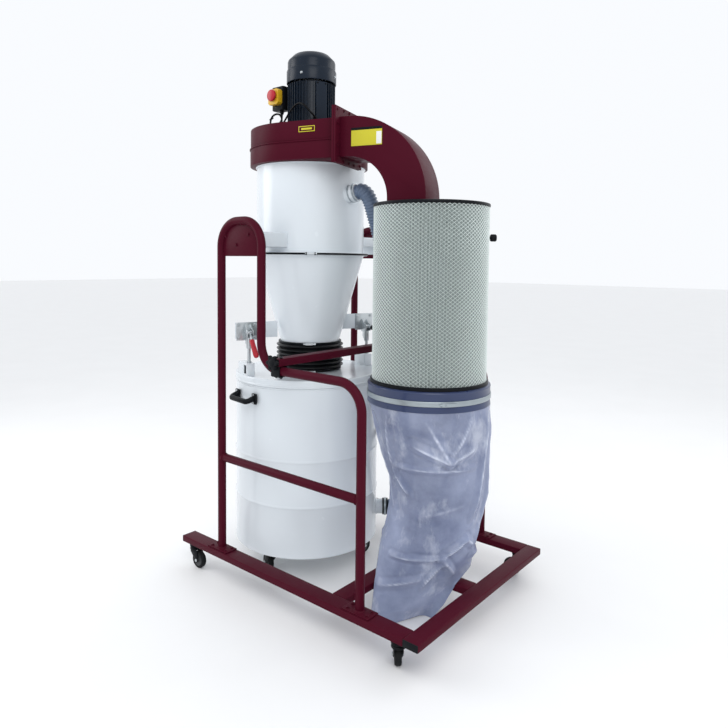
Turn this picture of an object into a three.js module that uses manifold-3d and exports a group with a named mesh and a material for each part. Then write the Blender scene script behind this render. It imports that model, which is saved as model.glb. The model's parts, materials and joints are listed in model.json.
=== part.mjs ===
// Cyclone dust collector on a wheeled frame: fan and motor on top of a cyclone,
// a roll-out drum under its cone, and a pleated filter with a collection bag beside it.
// Millimetres, +Z up. The drum rolls out towards -X, the filter stands at +X.
import * as THREE from "three";
import { mergeVertices } from "three/addons/utils/BufferGeometryUtils.js";
import Module from "manifold-3d";

const wasm = await Module();
wasm.setup();

// ---- driving dimensions ----
const gap = 0.3; // between pieces that touch
const round = 40; // segments of the large turned pieces
const base = { halfLength: 650, halfWidth: 473.5, rail: 68, endRail: 63, top: 136, height: 27.5 };
const base2 = { crossX0: 211, midY0: -48.5, midY1: 19.5 };
const tube = { r: 17.6, bend: 105, planeY: 436.5, sides: 8 };
const side = { legX: -410, archX: -157, rightX: 372, archZ: 1550, runZ: 955, midZ: 541 };
const cyclone = { x: -309, y: -1.5, r: 247, wall: 2, top: 1811, split: 1418, neck: 136, neckZ: 1021 };
const drum = { x: -316, y: -9.5, r: 329, wall: 2, bottom: 113, top: 849.7 };
const lid = { r: 332, top: 884, collarTop: 923, collarR: 136, lift: 35 };
const filter = { x: 360, y: -0.5, r: 228.5, core: 170, bottom: 914, top: 1606, cap: 1618 };
const bag = { collarR: 247, collarBottom: 832 };
const turnDeg = 16; // the fan housing and its outlet are turned by this about Z
const fan = { r: 280, rEnd: 258, bottom: 1811.3, top: 1972, wall: 2.5, outletS: 272, outletInner: -96 };
const elbow = { s: 318, z: 1640, inner: 171, outer: 332, near: -279.4, far: -96, foot: 1618.3 };
const motor = { r: 108, z0: 1972.3, flange: 1990, z1: 2194, top: 2327, shaft: 12 };
const clampDeg = 252; // direction of the near toggle clamp from the cyclone's axis
const clampReach = { near: 318, far: 295 };
const clampArm = { z0: 1058, z1: 1130, thick: 5, standoff: 28, raise: { near: -15, far: 4 } };
const wheelSize = { r: 37.5, width: 24, trail: 26, bore: 4.4, pin: 4, axleZ: 37.5 };
const inlet = { deg: 130, offset: 172, r: 75, wall: 2, flangeR: 102, length: 268, z: 1525 };
const hose = { r: 34, sides: 8 };
const originShift = 20.5; // puts the origin under the middle of the whole object
const cableR = 4.5;

const colors = {
  maroon: { color: 0x4a1420, roughness: 0.35, metalness: 0.2 },
  white: { color: 0xd9e2ea, roughness: 0.25, metalness: 0.05 },
  black: { color: 0x15161a, roughness: 0.5, metalness: 0.1 },
  motor: { color: 0x141a22, roughness: 0.35, metalness: 0.4 },
  zinc: { color: 0xb9c2c6, roughness: 0.35, metalness: 0.8 },
  red: { color: 0xc4122e, roughness: 0.4, metalness: 0 },
  yellow: { color: 0xe8c52a, roughness: 0.45, metalness: 0 },
  media: { color: 0xdfe3de, roughness: 0.9, metalness: 0 },
  rubber: { color: 0x202225, roughness: 0.8, metalness: 0 },
  hose: { color: 0x7d8796, roughness: 0.6, metalness: 0 },
  film: { color: 0xaab2d8, roughness: 0.2, metalness: 0 },
};

const part = new THREE.Group();
const rad = THREE.MathUtils.degToRad;
const v3 = (x, y, z) => new THREE.Vector3(x, y, z);

// ---- solids ----
function toSolid(geometry) {
  const bare = new THREE.BufferGeometry();
  bare.setAttribute("position", geometry.getAttribute("position"));
  if (geometry.index) bare.setIndex(geometry.index);
  const merged = mergeVertices(bare, 1e-3);
  const triVerts = new Uint32Array(merged.index.array);
  const vertProperties = merged.attributes.position.array;
  const made = new wasm.Manifold(new wasm.Mesh({ numProp: 3, vertProperties, triVerts }));
  if (made.volume() > 0) return made;
  for (let i = 0; i < triVerts.length; i += 3) {
    [triVerts[i + 1], triVerts[i + 2]] = [triVerts[i + 2], triVerts[i + 1]];
  }
  return new wasm.Manifold(new wasm.Mesh({ numProp: 3, vertProperties, triVerts }));
}

function toGeometry(solid) {
  const mesh = solid.getMesh();
  const geometry = new THREE.BufferGeometry();
  const count = mesh.numVert;
  const xyz = new Float32Array(count * 3);
  for (let i = 0; i < count; i++) {
    for (let k = 0; k < 3; k++) xyz[3 * i + k] = mesh.vertProperties[mesh.numProp * i + k];
  }
  geometry.setAttribute("position", new THREE.BufferAttribute(xyz, 3));
  geometry.setIndex(new THREE.BufferAttribute(new Uint32Array(mesh.triVerts), 1));
  geometry.computeVertexNormals();
  return geometry;
}

const join = (first, ...rest) => toGeometry(rest.reduce((a, g) => a.add(toSolid(g)), toSolid(first)));
const cut = (first, ...rest) => toGeometry(rest.reduce((a, g) => a.subtract(toSolid(g)), toSolid(first)));
const outward = (geometry) => toGeometry(toSolid(geometry));

function place(name, geometry, look, parent = part) {
  const mesh = new THREE.Mesh(geometry, new THREE.MeshStandardMaterial(colors[look]));
  mesh.name = name;
  parent.add(mesh);
  return mesh;
}

// ---- shapes ----
function block(x0, x1, y0, y1, z0, z1) {
  const g = new THREE.BoxGeometry(x1 - x0, y1 - y0, z1 - z0);
  return g.translate((x0 + x1) / 2, (y0 + y1) / 2, (z0 + z1) / 2);
}

// Turned about a vertical axis at x, y; the profile is a closed list of [radius, z].
function turned(profile, x, y, segments = 40) {
  const points = profile.map(([r, z]) => new THREE.Vector2(r, z));
  if (profile[0][0] > 0) points.push(points[0].clone());
  return outward(new THREE.LatheGeometry(points, segments).rotateX(Math.PI / 2).translate(x, y, 0));
}

function pin(a, b, r, sides = 16) {
  const along = b.clone().sub(a);
  const g = new THREE.CylinderGeometry(r, r, along.length(), sides);
  const turn = new THREE.Quaternion().setFromUnitVectors(v3(0, 1, 0), along.clone().normalize());
  return g.applyQuaternion(turn).translate(...a.clone().lerp(b, 0.5).toArray());
}

// A path through stations, one extrusion step from each to the next.
class Stations extends THREE.Curve {
  constructor(points) {
    super();
    this.points = points;
  }
  getPoint(t, target = new THREE.Vector3()) {
    const s = Math.min(Math.max(t, 0), 1) * (this.points.length - 1);
    const i = Math.min(Math.floor(s), this.points.length - 2);
    return target.lerpVectors(this.points[i], this.points[i + 1], s - i);
  }
  getUtoTmapping(u) {
    return u;
  }
}

function roundTube(points, r, sides) {
  const ring = new THREE.Shape();
  for (let i = 0; i < sides; i++) {
    const a = (2 * Math.PI * (i + 0.5)) / sides;
    const p = [r * Math.cos(a), r * Math.sin(a)];
    if (i) ring.lineTo(...p);
    else ring.moveTo(...p);
  }
  const options = { steps: points.length - 1, extrudePath: new Stations(points), curveSegments: 1 };
  return outward(new THREE.ExtrudeGeometry(ring, options));
}

// Corner points become a path with round bends.
function withBends(corners, bend, arcSteps) {
  const out = [corners[0]];
  for (let i = 1; i < corners.length - 1; i++) {
    const u = corners[i - 1].clone().sub(corners[i]).normalize();
    const w = corners[i + 1].clone().sub(corners[i]).normalize();
    const half = u.angleTo(w) / 2;
    const reach = bend / Math.tan(half);
    const centre = corners[i].clone().addScaledVector(u.clone().add(w).normalize(), bend / Math.sin(half));
    const from = corners[i].clone().addScaledVector(u, reach).sub(centre);
    const axis = from.clone().cross(corners[i].clone().addScaledVector(w, reach).sub(centre)).normalize();
    for (let k = 0; k <= arcSteps; k++) {
      const angle = ((Math.PI - 2 * half) * k) / arcSteps;
      out.push(from.clone().applyAxisAngle(axis, angle).add(centre));
    }
  }
  out.push(corners[corners.length - 1]);
  return out;
}

// Evenly spaced stations on a smooth route, with a short straight start and end.
function stations(route, steps) {
  const points = route.map((p) => v3(...p));
  const last = points.length - 1;
  const spaced = new THREE.CatmullRomCurve3(points, false, "centripetal").getSpacedPoints(steps);
  const step = (from, to) => from.clone().add(to.clone().sub(from).setLength(6));
  const first = step(points[0], points[1]);
  const final = step(points[last], points[last - 1]);
  return [points[0], first, ...spaced.slice(1, -1), final, points[last]];
}

// An outline in plan, extruded from z0 to z1.
function slab(points, z0, z1, holes = []) {
  const shape = new THREE.Shape(points.map(([x, y]) => new THREE.Vector2(x, y)));
  const g = new THREE.ExtrudeGeometry(shape, { depth: z1 - z0, bevelEnabled: false });
  return cut(g.translate(0, 0, z0), ...holes.map((hole) => slab(hole, z0 - 1, z1 + 1)));
}

const rectangle = (x0, x1, y0, y1) => [[x0, y0], [x1, y0], [x1, y1], [x0, y1]];

// ---- wheeled base ----
function baseFrame() {
  const { halfLength: hl, halfWidth: hw, rail, endRail, top, height } = base;
  const { crossX0, midY0, midY1 } = base2;
  const crossX1 = crossX0 + rail;
  const outline = [
    [-hl, -hw], [hl, -hw], [hl, hw], [-hl, hw], [-hl, hw - rail],
    [crossX0, hw - rail], [crossX0, rail - hw], [-hl, rail - hw],
  ];
  const nearBay = rectangle(crossX1, hl - endRail, rail - hw, midY0);
  const farBay = rectangle(crossX1, hl - endRail, midY1, hw - rail);
  place("base_frame", slab(outline, top - height, top, [nearBay, farBay]), "maroon");
}

function sideFrame(name, y) {
  const z0 = base.top + gap;
  const foot = z0 + 5;
  const corners = [
    v3(side.legX, y, foot - 1), v3(side.legX, y, side.archZ), v3(side.archX, y, side.archZ),
    v3(side.archX, y, side.runZ), v3(side.rightX, y, side.runZ), v3(side.rightX, y, foot - 1),
  ];
  const bent = roundTube(withBends(corners, tube.bend, 4), tube.r, tube.sides);
  const bar = pin(v3(side.legX, y, side.midZ), v3(side.rightX, y, side.midZ), tube.r - 0.5, tube.sides);
  const gusset = block(side.legX, side.archX, y - 2, y + 2, 1405, side.archZ - 60);
  const gussetTop = block(side.legX + 45, side.archX - 45, y - 2, y + 2, side.archZ - 62, side.archZ);
  const feet = [side.legX, side.rightX].map((x) => block(x - 62, x + 62, y - 30, y + 30, z0, foot));
  place(name, join(bent, bar, gusset, gussetTop, ...feet), "maroon");
}

// Bracket from the cyclone barrel out to the gusset of one side frame.
function barrelBracket(name, out, lift) {
  const wallY = out * (tube.planeY - 2 - gap);
  const inner = cyclone.y + out * (cyclone.r - 12);
  const [y0, y1] = [Math.min(inner, wallY), Math.max(inner, wallY)];
  const plateY = [wallY, wallY - out * 4].sort((a, b) => a - b);
  const plate = block(side.legX + 42, side.archX - 42, ...plateY, 1425, 1500);
  const web = block(cyclone.x - 46, cyclone.x + 92, y0, y1, 1446 + lift, 1450 + lift);
  const cheeks = [-46, 88].map((x) => block(cyclone.x + x, cyclone.x + x + 4, y0, y1, 1446 + lift, 1507));
  const clear = turned([[0, 1400], [cyclone.r + gap, 1400], [cyclone.r + gap, 1600], [0, 1600]],
    cyclone.x, cyclone.y, round);
  place(name, cut(join(plate, web, ...cheeks), clear), "white");
}

function crossBar() {
  const z0 = side.runZ + tube.r + 3.4;
  const half = tube.planeY + 24;
  const ring = cut(block(-74, -28, -half, half, z0, z0 + 30), block(-71, -31, -half - 1, half + 1, z0 + 3, z0 + 27));
  place("cross_bar", ring, "maroon");
  for (const [end, out] of [["near", -1], ["far", 1]]) {
    const at = (d) => v3(-51, out * (half + d), z0 + 15);
    const hub = pin(at(gap), at(22), 13, 12);
    const lobes = [0, 1, 2].map((k) => {
      const a = (k * Math.PI) / 3;
      const arm = v3(Math.cos(a) * 27, 0, Math.sin(a) * 27);
      return pin(at(12).sub(arm), at(12).add(arm), 7.5, 8);
    });
    place("star_knob_" + end, join(hub, ...lobes), "black");
  }
}

// ---- casters ----
function caster(label, x, y, topZ, trailDeg) {
  const { r, width, trail, bore, pin: pinR, axleZ } = wheelSize;
  const group = new THREE.Group();
  group.position.set(x, y, 0);
  group.rotation.z = rad(trailDeg);
  part.add(group);
  const half = width / 2 + 1.6;
  const post = pin(v3(0, 0, 84), v3(0, 0, topZ - gap), 26, 12);
  const crown = block(-20, 26, -half - 3, half + 3, 80, 85);
  const cheeks = [-half - 3, half].map((y0) => {
    const outline = [[-20, 84], [26, 84], [trail + 11, axleZ - 8], [trail - 11, axleZ - 8]];
    const shape = new THREE.Shape(outline.map(([a, b]) => new THREE.Vector2(a, b)));
    const g = new THREE.ExtrudeGeometry(shape, { depth: 3, bevelEnabled: false });
    return g.rotateX(Math.PI / 2).translate(0, y0 + 3, 0);
  });
  const axle = pin(v3(trail, -half - 6, axleZ), v3(trail, half + 6, axleZ), pinR, 10);
  place("caster_fork_" + label, join(post, crown, axle, ...cheeks), "black", group);
  const w = width / 2;
  const rim = [[bore, -w], [r - 3, -w], [r, 4 - w], [r, w - 4], [r - 3, w], [bore, w]];
  const wheel = turned(rim, 0, 0, 24).rotateX(Math.PI / 2).translate(trail, 0, axleZ);
  place("caster_wheel_" + label, wheel, "rubber", group);
}

// ---- cyclone ----
function inletFrame() {
  const a = rad(inlet.deg);
  const along = v3(Math.cos(a), Math.sin(a), 0);
  const outDir = v3(-Math.sin(a), Math.cos(a), 0);
  const foot = v3(cyclone.x, cyclone.y, inlet.z).addScaledVector(outDir, inlet.offset);
  return { along, foot };
}

function cycloneBody() {
  const { x, y, r, wall, top, split, neck, neckZ } = cyclone;
  const { along, foot } = inletFrame();
  const barrel = turned([[r - wall, split + 4], [r + 18, split + 4], [r + 18, split + 7], [r, split + 7],
    [r, top], [r - wall, top]], x, y, round);
  const from = foot.clone().addScaledVector(along, 40);
  const reach = foot.clone().addScaledVector(along, inlet.length + 50);
  const mouth = pin(from, reach, inlet.r - inlet.wall - 1, 20);
  place("cyclone_barrel", cut(barrel, mouth), "white");
  const mid = foot.clone().addScaledVector(along, inlet.length);
  const back = mid.clone().addScaledVector(along, -6);
  const deep = foot.clone().addScaledVector(along, 60);
  const clear = turned([[0, 1400], [r + gap, 1400], [r + gap, 1700], [0, 1700]], x, y, round);
  const pipe = join(pin(deep, mid, inlet.r, 20), pin(back, mid, inlet.flangeR, 24));
  place("inlet_duct", cut(pipe, pin(from, reach, inlet.r - inlet.wall, 20), clear), "white");
  place("split_ring", turned([[r - wall, split], [r + 20, split], [r + 20, split + 3.7],
    [r - wall, split + 3.7]], x, y, round), "black");
  const cone = [[neck, neckZ - 31], [neck, neckZ], [r, split - 7], [r + 18, split - 4], [r + 18, split - gap],
    [r - wall, split - gap], [neck - wall, neckZ], [neck - wall, neckZ - 31]];
  place("cyclone_cone", turned(cone, x, y, round), "white");
  place("vortex_tube", turned([[108, 1500], [110, 1500], [110, top - 3], [r - 4, top - 3], [r - 4, top - 1],
    [108, top - 1]], x, y, 28), "white");
}

// ---- fan, outlet duct and motor, turned together about the cyclone's axis ----
const head = new THREE.Group();
head.position.set(cyclone.x, cyclone.y, 0);
head.rotation.z = rad(turnDeg);
part.add(head);

// The scroll's outline in plan: flat along -Y, then a spiral that closes in to the tongue.
function scroll(inset) {
  const near = -fan.r + inset;
  const far = fan.outletInner - inset;
  const points = [[fan.outletS + (inset ? 5 : 0), near], [0, near]];
  const sweep = 291.8;
  for (let k = 1; k <= 26; k++) {
    const t = k / 26;
    const a = rad(-90 - sweep * t);
    const r = fan.r + (fan.rEnd - fan.r) * t - inset;
    points.push([r * Math.cos(a), k < 26 ? r * Math.sin(a) : far]);
  }
  points.push([fan.outletS + (inset ? 5 : 0), far]);
  return points;
}

function fanHead() {
  const { bottom, top, wall } = fan;
  const shell = slab(scroll(0), bottom, top);
  const inside = slab(scroll(wall), bottom + wall, top - wall);
  const eye = pin(v3(0, 0, bottom - 1), v3(0, 0, bottom + 10), 112, 32);
  const shaftHole = pin(v3(0, 0, top - 10), v3(0, 0, top + 1), 30, 20);
  const seam = slab(scroll(0).map(([x, y]) => [x * 1.012, y * 1.012]), bottom + 72, bottom + 78);
  const lap = cut(seam, block(262, 300, -400, 400, bottom, top));
  const flange = block(fan.outletS - 9, fan.outletS, elbow.near - 38, elbow.far + 38, 1786, 2012);
  place("fan_housing", cut(join(shell, lap, flange), inside, eye, shaftHole), "maroon", head);

  const z = bottom + 40;
  const disc = pin(v3(0, 0, z + 82), v3(0, 0, z + 86), 190, 40);
  const hub = pin(v3(0, 0, z + 40), v3(0, 0, z + 88), 26, 20);
  const blades = [];
  for (let k = 0; k < 8; k++) {
    blades.push(block(22, 186, -1.5, 1.5, z, z + 84).rotateZ((k * Math.PI) / 4));
  }
  const bore = pin(v3(0, 0, z - 1), v3(0, 0, z + 90), motor.shaft + gap, 20);
  place("impeller", cut(join(disc, hub, ...blades), bore), "zinc", head);
}

function ductShape(inset) {
  const { s, z, inner, outer, foot } = elbow;
  const shape = new THREE.Shape();
  const x0 = fan.outletS + gap + (inset ? -1 : 0);
  const z0 = foot - (inset ? 1 : 0);
  shape.moveTo(x0, z + inner + inset);
  shape.lineTo(s, z + inner + inset);
  shape.absarc(s, z, inner + inset, Math.PI / 2, 0, true);
  shape.lineTo(s + inner + inset, z0);
  shape.lineTo(s + outer - inset, z0);
  shape.lineTo(s + outer - inset, z);
  shape.absarc(s, z, outer - inset, 0, Math.PI / 2, false);
  shape.lineTo(x0, z + outer - inset);
  return shape;
}

function outletDuct() {
  const { near, far } = elbow;
  const upright = (shape, y0, y1) => new THREE.ExtrudeGeometry(shape,
    { depth: y1 - y0, bevelEnabled: false, curveSegments: 12 }).rotateX(Math.PI / 2).translate(0, y1, 0);
  const outer = upright(ductShape(0), near, far);
  const inner = upright(ductShape(2), near + 2, far - 2);
  const s0 = fan.outletS + gap;
  const flange = block(s0, s0 + 9, near - 38, far + 38, 1786, 2012);
  const foot = block(elbow.s + elbow.inner - 22, elbow.s + elbow.outer + 22, near - 8, far + 22,
    elbow.foot, elbow.foot + 4);
  place("outlet_duct", cut(join(outer, flange, foot), inner), "maroon", head);
}

function motorParts() {
  const { r, z0, flange, z1, top, shaft } = motor;
  const shell = turned([[34, z0], [126, z0], [126, z0 + 12], [r, flange], [r, z1 - 4], [r - 6, z1],
    [34, z1], [70, z1 - 22], [70, flange + 16], [34, flange + 10]], 0, 0, 32);
  const pad = block(-26, 26, -114, -80, 1996, 2186).rotateZ(rad(52));
  place("motor_body", join(shell, pad), "motor", head);
  const cowl = [[r + 2, z1 + gap], [r + 5, z1 + gap], [r + 5, z1 + 57], [r + 1, z1 + 61], [r + 1, z1 + 98],
    [r - 30, top - 3], [40, top], [40, top - 3], [r - 32, top - 6.5], [r - 2, z1 + 97], [r - 2, z1 + 60],
    [r + 2, z1 + 56]];
  place("fan_cowl", turned(cowl, 0, 0, 32), "motor", head);
  const rotor = turned([[0, 1880], [shaft, 1880], [shaft, flange + 30], [64, flange + 30], [64, z1 - 40],
    [shaft, z1 - 40], [shaft, z1 + 30], [0, z1 + 30]], 0, 0, 16);
  const coolBlades = [0, 1, 2].map((k) => block(-84, 84, -1.5, 1.5, z1 + 16, z1 + 46).rotateZ((k * Math.PI) / 3));
  place("rotor_shaft", join(rotor, ...coolBlades), "zinc", head);
}

// ---- switch, its cable ----
const sw = { x0: -482, x1: -412, y0: -85, y1: -35, z0: 2085, z1: 2193, buttonX: -443, buttonZ: 2144 };

function switchParts() {
  const { x0, x1, y0, y1, z0, z1, buttonX, buttonZ } = sw;
  const arm = block(x1 - 10, -400, y1 - 14, y1, 2110, 2160);
  const clear = pin(v3(cyclone.x, cyclone.y, 2000), v3(cyclone.x, cyclone.y, 2200), motor.r + 0.8, 36);
  const startHole = block(buttonX - 10, buttonX + 10, y0 - 1, y0 + 12, z0 + 27, z0 + 43);
  const gland = pin(v3(buttonX, y0 + 25, z0 - 14), v3(buttonX, y0 + 25, z0 + 2), 9, 14);
  const tap = pin(v3(buttonX, y0 + 25, z0 - 16), v3(buttonX, y0 + 25, z0 - 6), cableR + 1.5, 10);
  place("switch_box", cut(join(block(x0, x1, y0, y1, z0, z1), arm, gland), clear, startHole, tap), "black");
  place("start_button", block(buttonX - 9.5, buttonX + 9.5, y0 - 3, y0 + 6, z0 + 27.5, z0 + 42.5), "black");
  const cover = cut(block(x0 + 2, x1 - 2, y0 - 29, y0 - gap, z0 + 21, z1 - 17),
    block(x0 + 5, x1 - 5, y0 - 26, y0 + 1, z0 + 24, z1 - 20),
    pin(v3(buttonX, y0 - 40, buttonZ), v3(buttonX, y0 - 20, buttonZ), 9, 20));
  place("switch_cover", cover, "yellow");
  const cap = [[0, 0], [8.5, 0], [8.5, 14], [26, 14], [26, 22], [20, 27], [0, 28]];
  const stop = turned(cap, 0, 0, 24).rotateX(Math.PI / 2).translate(buttonX, y0 - 22, buttonZ);
  place("stop_button", stop, "red");
}

// The motor lead: one loop under the switch, then over to the gland at the motor's foot.
const cableRoute = [
  [-443, -60, 2078], [-443, -60, 2064], [-443, -62, 2046], [-449, -68, 2030], [-458, -78, 2018],
  [-461, -91, 2005], [-452, -104, 1994], [-432, -113, 1988], [-410, -118, 1989], [-391, -121, 1998],
  [-379, -122, 2014], [-379, -122, 2034], [-391, -123, 2050], [-412, -125, 2055], [-433, -127, 2048],
  [-444, -129, 2030], [-441, -132, 2009], [-424, -135, 1996], [-401, -136, 1992], [-376, -136, 1996],
  [-354, -134, 2008], [-338, -131, 2028], [-323, -127, 2050], [-304, -123, 2070], [-280, -122, 2082],
  [-256, -122, 2082], [-234, -121, 2070], [-218, -114, 2052], [-207, -103, 2036], [-203, -92, 2026],
  [-206, -83, 2021], [-216, -74, 2020],
];

function motorLead() {
  place("motor_lead", roundTube(stations(cableRoute, 42), cableR, 8), "black");
}

// ---- toggle clamps that lift the lid ----
function clampGroup(end) {
  const group = new THREE.Group();
  group.position.set(cyclone.x, cyclone.y, 0);
  group.rotation.z = rad(clampDeg + 90);
  part.add(group);
  const way = end === "near" ? -1 : 1;
  return { group, way, along: way * clampReach[end] };
}

// In a clamp's group Y runs along the arms, and the clamp stands off the arm towards +X.
function toggleClamp(end) {
  const { group, along } = clampGroup(end);
  const { thick, standoff, raise } = clampArm;
  const [z0, z1] = [clampArm.z0 + raise[end], clampArm.z1 + raise[end]];
  const armInner = Math.sign(along) * 120;
  const ys = [armInner, along + Math.sign(along) * 52].sort((a, b) => a - b);
  const slope = (cyclone.r - cyclone.neck) / (cyclone.split - 7 - cyclone.neckZ);
  const rAt = (z) => cyclone.neck + slope * (z - cyclone.neckZ) + gap;
  const cone = turned([[0, z0 - 5], [rAt(z0 - 5), z0 - 5], [rAt(z1 + 5), z1 + 5], [0, z1 + 5]], 0, 0, round);
  const arm = cut(block(-thick / 2, thick / 2, ...ys, z0, z1), cone);
  place("clamp_arm_" + end, arm, "white", group);

  const x0 = thick / 2 + gap;
  const px = x0 + standoff;
  const plate = block(x0, x0 + 3, along - 48, along + 48, z0 - 8, z1);
  const [pivotX, pivotZ] = [px + 6, 1072];
  const guide = pin(v3(px, along, 1002), v3(px, along, 1050), 12, 16);
  const web = block(x0 + 2, px, along - 8, along + 8, 1020, 1050);
  const ears = [-15, 11].map((y) => block(x0 + 2, px + 18, along + y, along + y + 4, 1046, 1086));
  const bridge = block(x0 + 2, x0 + 10, along - 14, along + 14, 1046, 1106);
  const bore = pin(v3(px, along, 1000), v3(px, along, 1120), 7.4, 12);
  const pivotHole = pin(v3(pivotX, along - 20, pivotZ), v3(pivotX, along + 20, pivotZ), 4.3, 12);
  place("toggle_base_" + end, cut(join(plate, guide, web, bridge, ...ears), bore, pivotHole), "zinc", group);

  const rod = pin(v3(px, along, 902), v3(px, along, 1022), 7, 12);
  const nut = pin(v3(px, along, 926), v3(px, along, 934), 12, 6);
  place("lift_rod_" + end, join(rod, nut), "zinc", group);

  const droop = end === "near" ? 39 : 88;
  const dir = v3(Math.sin(rad(droop)), 0, -Math.cos(rad(droop)));
  const pivot = v3(pivotX, along, pivotZ);
  const lever = pin(pivot, pivot.clone().addScaledVector(dir, 44), 6, 12);
  const boss = pin(v3(pivotX, along - 10, pivotZ), v3(pivotX, along + 10, pivotZ), 9, 12);
  const axle = pin(v3(pivotX, along - 19, pivotZ), v3(pivotX, along + 19, pivotZ), 4, 12);
  const grip = pin(pivot.clone().addScaledVector(dir, 38), pivot.clone().addScaledVector(dir, 128), 10, 12);
  place("toggle_handle_" + end, join(lever, boss, axle, grip), end === "near" ? "red" : "black", group);
}

// ---- lid and bellows ----
function lidParts() {
  const { r, top, collarTop, collarR } = lid;
  const dish = turned([[0, top - 5], [r - 2, top - 8], [r - 2, drum.top + gap], [r, drum.top + gap],
    [r, top - 4], [0, top]], drum.x, drum.y, round);
  const throat = pin(v3(cyclone.x, cyclone.y, top - 20), v3(cyclone.x, cyclone.y, top + 20), collarR - 2, round);
  const collar = turned([[collarR - 2, top - 5], [collarR, top - 5], [collarR, collarTop], [collarR - 2, collarTop]],
    cyclone.x, cyclone.y, round);
  const shell = join(cut(dish, throat), collar);
  const brackets = ["near", "far"].map((end) => {
    const { group, along, way } = clampGroup(end);
    group.updateMatrix();
    const px = clampArm.thick / 2 + gap + clampArm.standoff;
    const outer = block(px - 78, px + 20, along - 19, along + 19, top - 3.5, top + 54);
    const inside = block(px - 75, px + 17, along - 16, along + 16, top + 2, top + 51);
    const slot = block(px - 13, px + 13, Math.min(along, along + 30 * way), Math.max(along, along + 30 * way),
      top + 8, top + 44);
    const hole = pin(v3(px, along, top + 45), v3(px, along, top + 60), 7.4, 12);
    const bracket = cut(outer, inside, slot, hole).applyMatrix4(group.matrix);
    part.remove(group);
    return bracket;
  });
  place("drum_lid", join(shell, ...brackets), "white");
}

function bellows() {
  const { x, y } = cyclone;
  const z0 = 898;
  const z1 = 1012;
  const skin = [[139, z0], [149, z0], [154, z0 + 6], [154, z1 - 6], [149, z1], [139, z1]];
  place("bellows_hose", turned(skin, x, y, round), "black");
  for (const [name, z] of [["bellows_clamp_lower", z0], ["bellows_clamp_upper", z1 + gap]]) {
    const low = name.endsWith("lower") ? z0 - 10 - gap : z;
    const wide = turned([[137, low], [146, low], [146, low + 9], [137, low + 9]], x, y, round);
    const screw = block(x + 100, x + 116, y - 112, y - 96, low, low + 9);
    place(name, join(wide, screw), "zinc");
  }
}

// ---- drum ----
function drumParts() {
  const { x, y, r, wall, bottom, top } = drum;
  const outside = [[0, bottom], [r - 6, bottom], [r, bottom + 6], [r, top], [r - wall, top]];
  const inside = [[r - wall, bottom + 8], [r - 8, bottom + wall], [0, bottom + wall]];
  const portZ = 225;
  const a = rad(39.5);
  const e = v3(Math.cos(a), Math.sin(a), 0);
  const centre = v3(x, y, portZ);
  const shell = turned([...outside, ...inside], x, y, round);
  const stub = pin(centre.clone().addScaledVector(e, r - 1.5), centre.clone().addScaledVector(e, r + 56), 34, 20);
  const core = turned([[0, 150], [r - wall / 2, 150], [r - wall / 2, 300], [0, 300]], x, y, round);
  const bore = pin(centre.clone().addScaledVector(e, r - 40), centre.clone().addScaledVector(e, r + 60), 31, 20);
  place("drum_body", cut(join(shell, cut(stub, core)), bore), "white");
  for (const [end, deg] of [["near", 261], ["far", 77]]) {
    const group = new THREE.Group();
    group.position.set(x, y, 793);
    group.rotation.z = rad(deg);
    part.add(group);
    const pads = [-68, 68].map((v) => block(r - 14, r + 12, v - 15, v + 15, -22, 22));
    const grip = roundTube(withBends([v3(r + 4, -68, 0), v3(r + 42, -68, 0), v3(r + 42, 68, 0), v3(r + 4, 68, 0)],
      16, 3), 12, 10);
    const clearR = (r + gap) / Math.cos(Math.PI / round);
    const wallClear = turned([[0, -40], [clearR, -40], [clearR, 40], [0, 40]], 0, 0, round);
    place("drum_handle_" + end, cut(join(grip, ...pads), wallClear), "black", group);
  }
}

// ---- filter and bag ----
function filterParts() {
  const { x, y, r, core, bottom, top, cap } = filter;
  const pleats = 36;
  const ring = [];
  for (let k = 0; k < pleats; k++) {
    const a = (2 * Math.PI * k) / pleats;
    const b = (2 * Math.PI * (k + 0.5)) / pleats;
    ring.push([x + r * Math.cos(a), y + r * Math.sin(a)], [x + (r - 4) * Math.cos(b), y + (r - 4) * Math.sin(b)]);
  }
  const coreRing = [];
  for (let k = 0; k < 24; k++) {
    const a = (-2 * Math.PI * k) / 24;
    coreRing.push([x + core * Math.cos(a), y + core * Math.sin(a)]);
  }
  place("filter_media", slab(ring, bottom + gap, top - gap, [coreRing]), "media");
  const lidDisc = turned([[0, cap - 4], [r - 8, cap - 4], [r - 8, top], [r + 4, top], [r + 4, cap], [0, cap]],
    x, y, 48);
  const a = rad(turnDeg);
  const toPlan = (s, n) => [cyclone.x + s * Math.cos(a) - n * Math.sin(a), cyclone.y + s * Math.sin(a) + n * Math.cos(a)];
  const { inner, outer, near, far, s } = elbow;
  const hole = [toPlan(s + inner + 2, near + 2), toPlan(s + outer - 2, near + 2),
    toPlan(s + outer - 2, far - 2), toPlan(s + inner + 2, far - 2)];
  place("filter_cap", cut(lidDisc, slab(hole, cap - 10, cap + 5)), "black");
  const collar = [[bag.collarR - 3, bag.collarBottom], [bag.collarR, bag.collarBottom], [bag.collarR, bottom - 8],
    [r + 6, bottom + 10], [r + 1.5, bottom + 10], [r + 1.5, bottom], [core, bottom], [core, bottom - 8],
    [bag.collarR - 3, bottom - 10]];
  place("filter_collar", turned(collar, x, y, round), "black");
  const k = rad(40);
  const e = v3(Math.cos(k), Math.sin(k), 0);
  const centre = v3(x, y, 1488);
  const shaftEnd = centre.clone().addScaledVector(e, r + 8);
  const knob = join(pin(centre.clone().addScaledVector(e, r + 1), shaftEnd, 5, 12),
    pin(shaftEnd, centre.clone().addScaledVector(e, r + 34), 14, 20));
  place("side_knob", knob, "black");
}

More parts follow.
